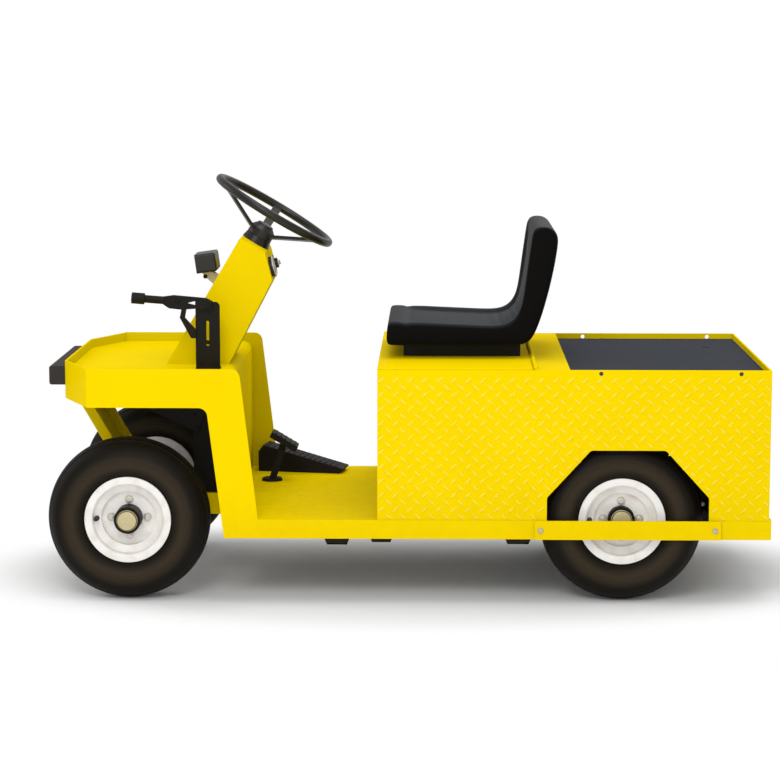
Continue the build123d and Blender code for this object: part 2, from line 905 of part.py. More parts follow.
# Wheel wells: liners behind the rear panels, over the tyres, slotted for the axle
well_inner_y = wheel_y - tyre_width / 2 - well_clearance
well_top_z = axle_z + well_half_length
well_shoulder = 120.0
axle_slot = 110.0
with BuildPart() as wheel_wells:
    with BuildSketch(side_plane(1, panel_inner_y)) as shell:
        Polygon(
            (rear_axle_x + well_half_length, floor_z),
            (rear_axle_x + well_half_length, well_top_z - well_shoulder),
            (rear_axle_x + well_half_length - well_shoulder, well_top_z),
            (rear_axle_x - well_half_length + well_shoulder, well_top_z),
            (rear_axle_x - well_half_length, well_top_z - well_shoulder),
            (rear_axle_x - well_half_length, floor_z),
            align=None,
        )
        offset(amount=well_sheet, kind=Kind.INTERSECTION, mode=Mode.REPLACE)
    extrude(amount=panel_inner_y - well_inner_y + well_sheet)
    with BuildSketch(side_plane(1, panel_inner_y)):
        Polygon(
            (rear_axle_x + well_half_length, floor_z),
            (rear_axle_x + well_half_length, well_top_z - well_shoulder),
            (rear_axle_x + well_half_length - well_shoulder, well_top_z),
            (rear_axle_x - well_half_length + well_shoulder, well_top_z),
            (rear_axle_x - well_half_length, well_top_z - well_shoulder),
            (rear_axle_x - well_half_length, floor_z),
            align=None,
        )
    extrude(amount=panel_inner_y - well_inner_y, mode=Mode.SUBTRACT)
    box_between(well_rear_x, bulkhead_x, 0, half_width, floor_z - 2 * well_sheet, floor_z, mode=Mode.SUBTRACT)
    box_between(
        rear_axle_x - axle_slot / 2,
        rear_axle_x + axle_slot / 2,
        well_inner_y - 2 * well_sheet,
        well_inner_y + well_sheet,
        floor_z,
        axle_z + axle_slot / 2,
        mode=Mode.SUBTRACT,
    )
    mirror(about=Plane.XZ)
write(wheel_wells, "wheel_wells")

# Front axle: square beam with an upright kingpin eye at each end
kingpin_y = wheel_y - kingpin_inset
eye_radius = 26.0
eye_height = 70.0
with BuildPart() as front_axle:
    with Locations((front_axle_x, 0, axle_z)):
        Box(beam_size, 2 * kingpin_y - eye_radius, beam_size)
    for side in (1, -1):
        with Locations((front_axle_x, side * kingpin_y, axle_z)):
            Cylinder(eye_radius, eye_height)
            Cylinder(kingpin_radius + running_gap, eye_height, mode=Mode.SUBTRACT)
write(front_axle, "front_axle")

# Knuckles: fork round the kingpin eye, spindle for the wheel and an arm with a ball stud for the tie rod
fork_gap = 0.5
fork_plate = 16.0
web_start = eye_radius + 4.0
web_end = web_start + 14.0
fork_half = eye_height / 2 + fork_gap + fork_plate
hub_inner = -34.0
collar_radius = 28.0
arm_radius = 15.0
stud_radius = 8.0
stud_length = 26.0
tie_rod_x = front_axle_x - steering_arm_length
lower_fork_z = axle_z - fork_half


def knuckle(side, name):
    web_y = kingpin_y + (web_start + web_end) / 2
    with BuildPart() as piece:
        for fork_z in (axle_z + eye_height / 2 + fork_gap, lower_fork_z):
            with BuildSketch(Plane.XY.offset(fork_z)):
                with Locations((front_axle_x, side * kingpin_y)):
                    Circle(eye_radius)
                with Locations((front_axle_x, side * (kingpin_y + web_end / 2))):
                    Rectangle(2 * eye_radius, web_end)
            extrude(amount=fork_plate)
        with Locations((front_axle_x, side * web_y, axle_z)):
            Box(2 * eye_radius, web_end - web_start, 2 * fork_half)
        with Locations((front_axle_x, side * kingpin_y, axle_z)):
            Cylinder(kingpin_radius, 2 * fork_half)
        with BuildSketch(side_plane(side, kingpin_y + web_end)):
            with Locations((front_axle_x, axle_z)):
                Circle(collar_radius)
        extrude(amount=-side * (wheel_y + hub_inner - fork_gap - kingpin_y - web_end))
        with BuildSketch(side_plane(side, kingpin_y + web_end)):
            with Locations((front_axle_x, axle_z)):
                Circle(spindle_radius)
        extrude(amount=-side * (wheel_y + front_hub_reach - 10.0 - kingpin_y - web_end))
        with BuildSketch(Plane.XY.offset(lower_fork_z)):
            with Locations(((front_axle_x + tie_rod_x) / 2, side * kingpin_y)):
                SlotOverall(steering_arm_length + 2 * arm_radius, 2 * arm_radius)
        extrude(amount=fork_plate)
        with BuildSketch(Plane.XY.offset(lower_fork_z)):
            with Locations((tie_rod_x, side * kingpin_y)):
                Circle(stud_radius)
        extrude(amount=-stud_length)
    write(piece, name)


knuckle(1, "knuckle_left")
knuckle(-1, "knuckle_right")

# Tie rod: tube between two rod ends that ride on the ball studs
rod_radius = 9.0
rod_end_radius = 17.0
rod_end_height = 20.0
rod_z = lower_fork_z - fork_gap - rod_end_height / 2
with BuildPart() as tie_rod:
    with BuildSketch(side_plane(1, kingpin_y)):
        with Locations((tie_rod_x, rod_z)):
            Circle(rod_radius)
    extrude(amount=2 * kingpin_y)
    for side in (1, -1):
        with Locations((tie_rod_x, side * kingpin_y, rod_z)):
            Cylinder(rod_end_radius, rod_end_height)
            Cylinder(stud_radius + running_gap, rod_end_height, mode=Mode.SUBTRACT)
write(tie_rod, "tie_rod")

# Rear axle: tubes, differential bulge, gear case for the motor and the two wheel spindles
tube_radius = 32.0
bulge_radius = 85.0
bulge_half = 60.0
bulge_taper = 50.0
case_thickness = 40.0
motor_ahead = 150.0
motor_rise = 75.0
motor_radius = 80.0
motor_length = 250.0
rear_hub_inner = -40.0
tube_end = wheel_y + rear_hub_inner - fork_gap
spindle_end = wheel_y + rear_hub_reach - 10.0
case_y = -bulge_half - bulge_taper
motor_x = rear_axle_x + motor_ahead
motor_z = axle_z + motor_rise
with BuildPart() as rear_axle:
    with BuildSketch(Plane.XY.offset(axle_z)):
        Polygon(
            (rear_axle_x, spindle_end),
            (rear_axle_x + spindle_radius, spindle_end),
            (rear_axle_x + spindle_radius, tube_end),
            (rear_axle_x + tube_radius, tube_end),
            (rear_axle_x + tube_radius, bulge_half + bulge_taper),
            (rear_axle_x + bulge_radius, bulge_half),
            (rear_axle_x + bulge_radius, -bulge_half),
            (rear_axle_x + tube_radius, -bulge_half - bulge_taper),
            (rear_axle_x + tube_radius, -tube_end),
            (rear_axle_x + spindle_radius, -tube_end),
            (rear_axle_x + spindle_radius, -spindle_end),
            (rear_axle_x, -spindle_end),
            align=None,
        )
    revolve(axis=Axis((rear_axle_x, 0, axle_z), (0, 1, 0)))
    with BuildSketch(Plane.XZ.offset(-case_y)):
        with Locations((rear_axle_x, axle_z)):
            Circle(bulge_radius)
        with Locations((motor_x, motor_z)):
            Circle(motor_radius)
        make_hull()
    extrude(amount=case_thickness)
write(rear_axle, "rear_axle")

with BuildPart() as drive_motor:
    with BuildSketch(Plane.XZ.offset(-case_y)):
        with Locations((motor_x, motor_z)):
            Circle(motor_radius)
    extrude(amount=-motor_length)
    chamfer(drive_motor.faces().sort_by(Axis.Y)[-1].edges(), 8.0)
write(drive_motor, "drive_motor")

# Rear springs under the axle tubes, with their hangers and the rails above them
spring_inset = 125.0
spring_y = wheel_y - spring_inset
leaf_width = 44.0
leaf_thickness = 7.0
leaf_count = 3
spring_half = 280.0
leaf_step = 75.0
spring_eye_radius = 13.0
pin_radius = 7.0
cheek = 6.0
hanger_top_length = 80.0
hanger_foot_length = 44.0
hanger_foot_drop = 20.0
spring_top_z = axle_z - tube_radius - running_gap
spring_eye_z = spring_top_z - leaf_thickness / 2
rear_rail_z = axle_z + tube_radius + 14.0
rear_rail_height = 50.0
with BuildPart() as rear_springs:
    for number in range(leaf_count):
        leaf_top = spring_top_z - number * leaf_thickness
        reach = spring_half - number * leaf_step
        box_between(
            rear_axle_x - reach,
            rear_axle_x + reach,
            spring_y - leaf_width / 2,
            spring_y + leaf_width / 2,
            leaf_top - leaf_thickness,
            leaf_top,
        )
    for end in (1, -1):
        with BuildSketch(side_plane(1, spring_y + leaf_width / 2)):
            with Locations((rear_axle_x + end * spring_half, spring_eye_z)):
                Circle(spring_eye_radius)
        extrude(amount=leaf_width)
        with BuildSketch(side_plane(1, spring_y + leaf_width / 2)):
            with Locations((rear_axle_x + end * spring_half, spring_eye_z)):
                Circle(pin_radius + running_gap)
        extrude(amount=leaf_width, mode=Mode.SUBTRACT)
    mirror(about=Plane.XZ)
write(rear_springs, "rear_springs")

hanger_outer = leaf_width / 2 + fork_gap + cheek
with BuildPart() as spring_hangers:
    for end, top_z in ((1, floor_bottom_z), (-1, rear_rail_z)):
        eye_x = rear_axle_x + end * spring_half
        with BuildSketch(side_plane(1, spring_y + hanger_outer)):
            Polygon(
                (eye_x - hanger_top_length / 2, top_z),
                (eye_x + hanger_top_length / 2, top_z),
                (eye_x + hanger_foot_length / 2, spring_eye_z - hanger_foot_drop),
                (eye_x - hanger_foot_length / 2, spring_eye_z - hanger_foot_drop),
                align=None,
            )
        extrude(amount=2 * hanger_outer)
        slot_half = leaf_width / 2 + fork_gap
        box_between(
            eye_x - hanger_top_length,
            eye_x + hanger_top_length,
            spring_y - slot_half,
            spring_y + slot_half,
            spring_eye_z - 2 * hanger_foot_drop,
            spring_eye_z + spring_eye_radius + 2.0,
            mode=Mode.SUBTRACT,
        )
        with BuildSketch(side_plane(1, spring_y + hanger_outer)):
            with Locations((eye_x, spring_eye_z)):
                Circle(pin_radius)
        extrude(amount=2 * hanger_outer)
    mirror(about=Plane.XZ)
write(spring_hangers, "spring_hangers")

# Rear frame: bulkhead behind the battery with the two rails over the axle
with BuildPart() as rear_frame:
    box_between(bulkhead_x, bulkhead_x + sheet, -panel_inner_y, panel_inner_y, floor_z, strip_z)
    for side in (1, -1):
        box_between(
            tail_x + frame_plate,
            bulkhead_x,
            side * (spring_y - leaf_width / 2),
            side * (spring_y + leaf_width / 2),
            rear_rail_z,
            rear_rail_z + rear_rail_height,
        )
write(rear_frame, "rear_frame")

# Rear sill: plate round the lower rear corners and the floor between, notched for the spring hangers
notch_gap = 3.0
rear_sill_x = tail_x - frame_plate
with BuildPart() as rear_sill:
    box_between(rear_sill_x, tail_x, -half_width, half_width, sill_z, floor_z + sill_lip)
    box_between(tail_x, well_rear_x, -inner_y, inner_y, floor_bottom_z, floor_z)
    for side in (1, -1):
        box_between(tail_x, arch_rear_x, side * inner_y, side * half_width, sill_z, floor_z)
        box_between(
            rear_axle_x - spring_half - hanger_top_length / 2 - notch_gap,
            well_rear_x,
            side * (spring_y - hanger_outer - notch_gap),
            side * (spring_y + hanger_outer + notch_gap),
            floor_bottom_z,
            floor_z,
            mode=Mode.SUBTRACT,
        )
write(rear_sill, "rear_sill")

# Tow hitch: back plate with two jaws drilled for a draw pin
hitch_plate = 12.0
hitch_plate_width = 160.0
hitch_plate_height = 114.0
pin_setback = 26.0
hitch_pin_x = rear_x + pin_setback
lower_jaw_z = hitch_height - jaw_opening / 2 - jaw_thickness
upper_jaw_z = hitch_height + jaw_opening / 2
with BuildPart() as tow_hitch:
    with Locations((tail_x - hitch_plate / 2, 0, hitch_height)):
        Box(hitch_plate, hitch_plate_width, hitch_plate_height)
    for jaw_z in (lower_jaw_z, upper_jaw_z):
        with BuildSketch(Plane.XY.offset(jaw_z)) as jaw:
            with Locations(((rear_x + tail_x) / 2, 0)):
                Rectangle(tail_x - rear_x, jaw_width)
            fillet(jaw.vertices().group_by(Axis.X)[0], 26.0)
            with Locations((hitch_pin_x, 0)):
                Circle(hitch_pin_radius, mode=Mode.SUBTRACT)
        extrude(amount=jaw_thickness)
write(tow_hitch, "tow_hitch")


# Wheels: each is a tyre, a rim and a hub, drawn from the wheel's middle plane outwards
bead_gap = 0.2
bead_half = rim_width / 2 - rim_wall - 0.5
sidewall_foot = flange_radius + 1.5
sidewall_middle = 168.0
shoulder_radius = 2 * sidewall_middle - sidewall_foot
tyre_wall = 12.0
drop_radius = 81.0
flange_bend = 8.0
lip_round = 1.5
drop_half = 22.0
drop_slope = 8.0
flange_plate = 66.0
drum_radius = 70.0
bore_wall = 7.0


def wheel_section(x, side):
    """Plane through the wheel's axle: across is outboard from its middle, up is the radius."""
    return Plane(origin=(x, side * wheel_y, axle_z), x_dir=(0, side, 0), z_dir=(side, 0, 0))


def wheel_axis(x):
    return Axis((x, 0, axle_z), (0, 1, 0))


def tyre(x, side, name):
    half = tyre_width / 2
    with BuildPart() as piece:
        with BuildSketch(wheel_section(x, side)):
            with BuildLine():
                Polyline(
                    (-bead_half, sidewall_foot),
                    (-bead_half, bead_radius + bead_gap),
                    (-bead_half + tyre_wall, bead_radius + bead_gap),
                    (-bead_half + tyre_wall, sidewall_foot),
                )
                inner_middle = (-half + tyre_wall, sidewall_middle)
                inner_top = (-bead_half + tyre_wall, shoulder_radius - tyre_wall)
                ThreePointArc((-bead_half + tyre_wall, sidewall_foot), inner_middle, inner_top)
                ThreePointArc(
                    inner_top,
                    (0, tyre_radius - tyre_wall),
                    (bead_half - tyre_wall, shoulder_radius - tyre_wall),
                )
                ThreePointArc(
                    (bead_half - tyre_wall, shoulder_radius - tyre_wall),
                    (half - tyre_wall, sidewall_middle),
                    (bead_half - tyre_wall, sidewall_foot),
                )
                Polyline(
                    (bead_half - tyre_wall, sidewall_foot),
                    (bead_half - tyre_wall, bead_radius + bead_gap),
                    (bead_half, bead_radius + bead_gap),
                    (bead_half, sidewall_foot),
                )
                ThreePointArc((bead_half, sidewall_foot), (half, sidewall_middle), (bead_half, shoulder_radius))
                ThreePointArc((bead_half, shoulder_radius), (0, tyre_radius), (-bead_half, shoulder_radius))
                ThreePointArc(
                    (-bead_half, shoulder_radius), (-half, sidewall_middle), (-bead_half, sidewall_foot)
                )
            make_face()
        revolve(axis=wheel_axis(x))
    write(piece, name)


def rim(x, side, name):
    edge = rim_width / 2
    with BuildPart() as piece:
        with BuildSketch(wheel_section(x, side)) as section:
            with BuildLine():
                Polyline(
                    (edge, flange_radius),
                    (edge - rim_wall, flange_radius),
                    (edge - rim_wall, bead_radius),
                    (drop_half + drop_slope, bead_radius),
                    (drop_half, drop_radius),
                    (-drop_half, drop_radius),
                    (-drop_half - drop_slope, bead_radius),
                    (-edge + rim_wall, bead_radius),
                    (-edge + rim_wall, flange_radius),
                    (-edge, flange_radius),
                    (-edge, bead_radius - rim_wall),
                    (-drop_half - drop_slope - rim_wall / 2, bead_radius - rim_wall),
                    (-drop_half - rim_wall / 2, drop_radius - rim_wall),
                    (drop_half + rim_wall / 2, drop_radius - rim_wall),
                    (drop_half + drop_slope + rim_wall / 2, bead_radius - rim_wall),
                    (edge, bead_radius - rim_wall),
                    close=True,
                )
            make_face()
            for end in (edge, -edge):
                corners = section.vertices()
                fillet(corners.sort_by_distance((end, bead_radius - rim_wall))[0], flange_bend)
                corners = section.vertices()
                fillet(corners.sort_by_distance((end, flange_radius))[0], lip_round)
            disc_rise = drop_radius - rim_wall / 2 - hub_radius - running_gap
            with Locations((disc_offset - disc_thickness / 2, hub_radius + running_gap + disc_rise / 2)):
                Rectangle(disc_thickness, disc_rise)
        revolve(axis=wheel_axis(x))
        with BuildSketch(Plane.XZ.offset(-side * (wheel_y + disc_offset))):
            with Locations((x, axle_z)):
                with PolarLocations(stud_circle_radius, 4):
                    Circle(stud_hole_radius)
        extrude(amount=side * disc_thickness, mode=Mode.SUBTRACT)
    write(piece, name)


def hub(x, side, name, inner, reach, plate_radius):
    plate_face = disc_offset - disc_thickness
    with BuildPart() as piece:
        with BuildSketch(wheel_section(x, side)):
            Polygon(
                (inner, spindle_radius + running_gap),
                (inner, hub_radius),
                (inner + bore_wall, hub_radius),
                (inner + bore_wall, plate_radius),
                (plate_face, plate_radius),
                (plate_face, hub_radius),
                (reach, hub_radius),
                (reach, cap_radius),
                (reach + cap_length, cap_radius),
                (reach + cap_length, 0),
                (reach - bore_wall, 0),
                (reach - bore_wall, spindle_radius + running_gap),
                align=None,
            )
        revolve(axis=wheel_axis(x))
    write(piece, name)


for side_name, side in (("left", 1), ("right", -1)):
    tyre(front_axle_x, side, f"front_tyre_{side_name}")
    rim(front_axle_x, side, f"front_rim_{side_name}")
    hub(front_axle_x, side, f"front_hub_{side_name}", hub_inner, front_hub_reach, flange_plate)
    tyre(rear_axle_x, side, f"rear_tyre_{side_name}")
    rim(rear_axle_x, side, f"rear_rim_{side_name}")
    hub(rear_axle_x, side, f"rear_hub_{side_name}", rear_hub_inner, rear_hub_reach, drum_radius)

# Seat lid: cover over the battery, with a barrel hinge along its rear edge
with BuildPart() as seat_lid:
    box_between(hinge_x, box_front_x, -panel_y, panel_y, lid_z, lid_top_z)
    for middle in (-barrel_length, barrel_length):
        box_between(
            hinge_line_x,
            hinge_x,
            middle - (barrel_length - barrel_gap) / 2,
            middle + (barrel_length - barrel_gap) / 2,
            lid_z,
            lid_top_z,
        )
        with Locations(Location((hinge_line_x, middle, hinge_line_z), (90, 0, 0))):
            Cylinder(barrel_radius, barrel_length - barrel_gap)
            Cylinder(hinge_pin_radius + running_gap, barrel_length - barrel_gap, mode=Mode.SUBTRACT)
write(seat_lid, "seat_lid")

# Seat: base box, cushion and backrest
seat_rear_margin = 67.0
seat_front_x = box_front_x - seat_setback
seat_rear_x = hinge_x + seat_rear_margin
base_front_x = box_front_x - base_setback
base_rear_x = hinge_x + base_rear_margin
base_top_z = lid_top_z + seat_base_height
cushion_z = base_top_z + seat_gap
cushion_round = 14.0
cushion_fall = 8.0
back_depth = 145.0
back_foot_x = seat_rear_x - seat_gap
with BuildPart() as seat_base:
    box_between(
        base_rear_x,
        base_front_x,
        -seat_base_width / 2,
        seat_base_width / 2,
        lid_top_z,
        base_top_z,
    )
write(seat_base, "seat_base")

with BuildPart() as seat_cushion:
    with BuildSketch(side_plane(1, seat_width / 2)):
        Polygon(
            (seat_front_x, cushion_z),
            (seat_front_x, cushion_z + cushion_height),
            (seat_rear_x, cushion_z + cushion_height - cushion_fall),
            (seat_rear_x, cushion_z),
            align=None,
        )
    extrude(amount=seat_width)
    fillet(seat_cushion.faces().sort_by(Axis.X)[-1].edges(), cushion_round)
write(seat_cushion, "seat_cushion")


def back_point(along, rise):
    """Point of the backrest, as shares of its depth and rise from the back of the cushion."""
    return (back_foot_x - along * back_depth, cushion_z + rise * backrest_rise)


with BuildPart() as seat_back:
    with BuildSketch(side_plane(1, seat_width / 2)) as profile:
        with BuildLine():
            Polyline(back_point(0.43, 0), back_point(0, 0), back_point(0, 0.17))
            ThreePointArc(back_point(0, 0.17), back_point(0.19, 0.23), back_point(0.29, 0.345))
            Polyline(
                back_point(0.29, 0.345),
                back_point(0.48, 0.94),
                back_point(0.62, 1.0),
                back_point(0.86, 1.0),
                back_point(1.0, 0.92),
                back_point(0.91, 0.61),
                back_point(0.64, 0.19),
                back_point(0.43, 0),
            )
        make_face()
        fillet(profile.vertices().group_by(Axis.Y)[-1], cushion_round)
    extrude(amount=seat_width)
write(seat_back, "seat_back")
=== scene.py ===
# %% [markdown]
# # Electric baggage tug
# The tug is a small tow tractor of folded steel plate: a front tray over two steered wheels, a low
# footwell, and a box of tread plate at the rear with a hinged seat lid and a sunk load deck. The packed
# CAD model gives its places and sizes in metres, +X forward, +Y left and +Z up, so this lesson only adds
# what CAD leaves out: paint, rubber, padding, tread lugs, fasteners and small fittings.

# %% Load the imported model
import json
import math

import bpy
from mathutils import Matrix, Vector


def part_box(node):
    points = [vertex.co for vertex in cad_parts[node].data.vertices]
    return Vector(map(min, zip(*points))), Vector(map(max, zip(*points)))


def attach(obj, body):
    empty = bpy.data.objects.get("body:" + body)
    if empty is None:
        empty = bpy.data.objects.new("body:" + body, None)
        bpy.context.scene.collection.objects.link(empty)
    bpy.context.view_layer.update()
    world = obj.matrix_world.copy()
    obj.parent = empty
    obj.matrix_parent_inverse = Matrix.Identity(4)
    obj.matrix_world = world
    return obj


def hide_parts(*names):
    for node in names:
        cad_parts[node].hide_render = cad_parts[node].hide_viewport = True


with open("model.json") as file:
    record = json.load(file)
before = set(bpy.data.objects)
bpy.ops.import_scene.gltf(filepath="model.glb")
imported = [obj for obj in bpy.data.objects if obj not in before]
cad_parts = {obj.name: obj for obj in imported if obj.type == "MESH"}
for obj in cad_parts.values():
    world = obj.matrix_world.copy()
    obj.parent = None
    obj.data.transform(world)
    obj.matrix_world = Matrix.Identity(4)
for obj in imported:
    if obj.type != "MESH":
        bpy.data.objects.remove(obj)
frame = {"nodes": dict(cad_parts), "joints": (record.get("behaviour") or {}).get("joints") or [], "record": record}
scene = bpy.context.scene
view_layer = bpy.context.view_layer
nodes = frame["nodes"]
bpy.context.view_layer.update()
MM = 0.001

# %% [markdown]
# ## Camera, floor and light
# A product photographer stands about seven metres from the tug's left side, at eye height, and uses a
# long lens, so the picture is nearly a side view and upright edges stay nearly upright. The camera is
# aimed by turning it, with no shift, so views from other sides keep the same framing.

# %% Camera at the photographer's place
LENS_MM = 113.15
SENSOR_MM = 36
camera_place = Vector((-0.063, 7.138, 1.537))
camera_aim = Vector((0.066, 0.445, 0.602))


def facing(place, aim):
    """Rotation of a camera or a light that looks from one place at another."""
    return (Vector(aim) - Vector(place)).to_track_quat("-Z", "Y").to_euler()


bpy.ops.object.camera_add(location=camera_place)
camera = bpy.context.object
camera.rotation_euler = facing(camera_place, camera_aim)
camera.data.lens = LENS_MM
camera.data.sensor_width = SENSOR_MM
scene.camera = camera
print("Camera distance:", round((camera_aim - camera_place).length, 3), "m")


# %% [markdown]
# Every finish below is a node tree, built by a few small functions. One turns a colour, written as an
# sRGB hex value, into the linear colour that Blender mixes with. One fills the inputs of a node and one
# adds a node. One starts a material and hands back its shader and the Object coordinates, which are metres
# in the tug's own frame because every piece sits at the origin.

# %% Colours, nodes and materials
def linear(code):
    """Linear colour for an sRGB hex value."""
    shades = [int(code[place:place + 2], 16) / 255 for place in (1, 3, 5)]
    return tuple(s / 12.92 if s <= 0.04045 else ((s + 0.055) / 1.055) ** 2.4 for s in shades) + (1.0,)


def feed(node, inputs):
    """Fill inputs of a node, each with a hex colour, a fixed value or the output of another node."""
    for name, source in inputs.items():
        socket = node.inputs[name]
        if isinstance(source, bpy.types.NodeSocket):
            node.id_data.links.new(source, socket)
        elif isinstance(source, str):
            socket.default_value = linear(source)
        else:
            socket.default_value = source


def add_node(tree, kind, inputs=None, **settings):
    """Add one node with its settings and its inputs."""
    node = tree.nodes.new(kind)
    for name, value in settings.items():
        setattr(node, name, value)
    feed(node, inputs or {})
    return node


def new_finish(name, **inputs):
    """Start a material: gives it, its tree, its shader with these inputs, and the Object coordinates."""
    material = bpy.data.materials.new(name)
    material.use_nodes = True
    tree = material.node_tree
    shader = tree.nodes["Principled BSDF"]
    feed(shader, {socket.replace("_", " "): value for socket, value in inputs.items()})
    place = add_node(tree, "ShaderNodeTexCoord").outputs["Object"]
    return material, tree, shader, place


print("Ready to mix, for example white:", linear("#FFFFFF"))


# %% [markdown]
# The rest are the steps that most finishes share: a pattern of a given size in millimetres, a blend of two
# colours, a change of range, and a bump that bends the surface normal.

# %% Patterns, blends and bumps
def per_metre(size_mm):
    """Texture scale for a pattern whose features are about this many millimetres apart."""
    return 1000 / size_mm


def noise(tree, place, size_mm, detail):
    """Noise of this size, from 0 to 1."""
    inputs = {"Vector": place, "Scale": per_metre(size_mm), "Detail": detail}
    return add_node(tree, "ShaderNodeTexNoise", inputs).outputs["Fac"]


def pebbles(tree, place, size_mm):
    """Voronoi cells of this size, as the distance from the middle of each."""
    inputs = {"Vector": place, "Scale": per_metre(size_mm)}
    return add_node(tree, "ShaderNodeTexVoronoi", inputs).outputs["Distance"]


def blend(tree, share, first, second):
    """Mix of two colours by a share from 0 to 1."""
    return add_node(tree, "ShaderNodeMix", {0: share, 6: first, 7: second}, data_type="RGBA").outputs[2]


def ramp(tree, value, start, end, low=0.0, high=1.0, kind="LINEAR"):
    """A value that runs from start to end, brought to run from low to high."""
    inputs = {"Value": value, "From Min": start, "From Max": end, "To Min": low, "To Max": high}
    return add_node(tree, "ShaderNodeMapRange", inputs, interpolation_type=kind).outputs["Result"]


def satin(tree, value, low, high):
    """Roughness that follows a pattern between two limits."""
    return ramp(tree, value, 0.0, 1.0, low, high)


def bump(tree, height, strength, depth_mm, invert=False):
    """Surface normal bent by a height."""
    inputs = {"Height": height, "Strength": strength, "Distance": depth_mm * MM}
    return add_node(tree, "ShaderNodeBump", inputs, invert=invert).outputs["Normal"]


def coat(shader, colour, rough, normal):
    """Give a shader its colour, roughness and normal."""
    feed(shader, {"Base Color": colour, "Roughness": rough, "Normal": normal})


print("A pattern of 5 mm has the scale", per_metre(5))

# %% [markdown]
# The floor is a pale sweep of paper. Close to the tug it is a plain diffuse surface that takes the shadow.
# Further out it fades to pure white for the camera alone, so it joins the white surroundings with no
# horizon line and adds no light of its own to the paint. The fade follows the tug's footprint: the floor
# coordinates are divided by the half-lengths of an oval round it before the distance is taken.

# %% Floor and surroundings
OVAL = (1.25, 0.75)
FADE_START = 0.82
FADE_END = 1.12
FLOOR_SIZE = 60
AMBIENT = 0.62
bpy.ops.object.select_all(action="DESELECT")
bpy.ops.mesh.primitive_plane_add(size=FLOOR_SIZE, location=(0, 0, 0))
floor = bpy.context.object
floor.name = "studio_floor"
paper, tree, shader, place = new_finish(
    "studio_paper", Base_Color="#FCFCFC", Roughness=0.9, Specular_IOR_Level=0.1
)
shrink = {0: place, 1: (1 / OVAL[0], 1 / OVAL[1], 0)}
shrink = add_node(tree, "ShaderNodeVectorMath", shrink, operation="MULTIPLY").outputs[0]
distance = add_node(tree, "ShaderNodeVectorMath", {0: shrink}, operation="LENGTH").outputs["Value"]
fade = ramp(tree, distance, FADE_START, FADE_END, kind="SMOOTHSTEP")
seen = add_node(tree, "ShaderNodeLightPath").outputs["Is Camera Ray"]
blank = add_node(tree, "ShaderNodeMath", {0: seen, 1: fade}, operation="MULTIPLY").outputs[0]
white = add_node(tree, "ShaderNodeEmission", {"Color": "#FFFFFF"}).outputs[0]
sweep = add_node(tree, "ShaderNodeMixShader", {0: blank, 1: shader.outputs[0], 2: white}).outputs[0]
feed(tree.nodes["Material Output"], {"Surface": sweep})
floor.data.materials.append(paper)

scene.world = bpy.data.worlds.new("studio_world")
scene.world.use_nodes = True
tree = scene.world.node_tree
dim = tree.nodes["Background"]
feed(dim, {"Color": "#FFFFFF", "Strength": AMBIENT})
bright = add_node(tree, "ShaderNodeBackground", {"Color": "#FFFFFF", "Strength": 1.0}).outputs[0]
seen = add_node(tree, "ShaderNodeLightPath").outputs["Is Camera Ray"]
both = add_node(tree, "ShaderNodeMixShader", {0: seen, 1: dim.outputs[0], 2: bright}).outputs[0]
feed(tree.nodes["World Output"], {"Surface": both})
print("Floor fades to white between", FADE_START, "and", FADE_END, "times the oval")


# %% [markdown]
# The light is a big soft box overhead that draws the shadow under the tug and lights the decks, one high
# on the camera's side, one lower down that opens the shadows under the tray and the seat, and a weaker
# pair behind and in front so that the other sides read too.

# %% Soft boxes
def soft_box(name, place, aim, size, watts):
    """A round area light at a place, turned to its aim."""
    bpy.ops.object.light_add(type="AREA", location=place)
    light = bpy.context.object
    light.name = name
    light.data.shape = "DISK"
    light.data.size = size
    light.data.energy = watts
    light.rotation_euler = facing(place, aim)


soft_box("top_light", (-0.3, 0.5, 4.6), (-0.1, 0, 0.4), 2.6, 42)
soft_box("key_light", (0.9, 4.6, 4.0), (0, 0.2, 0.4), 2.2, 70)
soft_box("fill_light", (0.5, 5.6, 1.5), (-0.1, 0.2, 0.4), 2.6, 28)
soft_box("back_light", (-1.4, -4.0, 3.6), (0, 0, 0.4), 3.0, 26)
soft_box("front_light", (4.6, -0.6, 2.6), (0.2, 0, 0.5), 2.4, 20)

# %% [markdown]
# ## Finishes
# The body is steel plate sprayed with a thick yellow enamel. Sprayed paint is never quite even: its colour
# drifts a little over a hand's width, its skin has a fine orange peel, and low down it holds a film of
# dust. Noise in three sizes gives all of that, and the height above the floor fades the dust out. Yellow
# plates that face each other turn each other orange and tint the paper, which a catalogue picture has
# retouched away: here a Light Path node shows a neutral grey to the light that bounces on. A copy, paler
# and glossier, is for the lugs of the side panels: the paler colour is partly paint that luggage rubs and
# partly a painted highlight on each lug.

# %% Yellow enamel
CLOUD_MM = 220
PEEL_MM = 7
DUST_MM = 45
DUST_TOP = 0.34
DUST_FULL = 0.16
DUST_SHARE = 0.30
enamel, tree, shader, place = new_finish(
    "yellow_enamel", IOR=1.5, Specular_IOR_Level=0.0, Coat_Weight=0.03, Coat_Roughness=0.2
)
tint = blend(tree, noise(tree, place, CLOUD_MM, 3), "#F7D200", "#FFE000")
height = add_node(tree, "ShaderNodeSeparateXYZ", {0: place}).outputs["Z"]
low = ramp(tree, height, DUST_TOP, DUST_FULL, 0.0, DUST_SHARE)
grime = noise(tree, place, DUST_MM, 6)
dust = add_node(tree, "ShaderNodeMath", {0: low, 1: grime}, operation="MULTIPLY").outputs[0]
colour = blend(tree, dust, tint, "#B89512")
bounce = add_node(tree, "ShaderNodeLightPath").outputs["Is Diffuse Ray"]
retouched = blend(tree, bounce, colour, "#B9B6A6")
peel = bump(tree, noise(tree, place, PEEL_MM, 2), 0.12, 0.4)
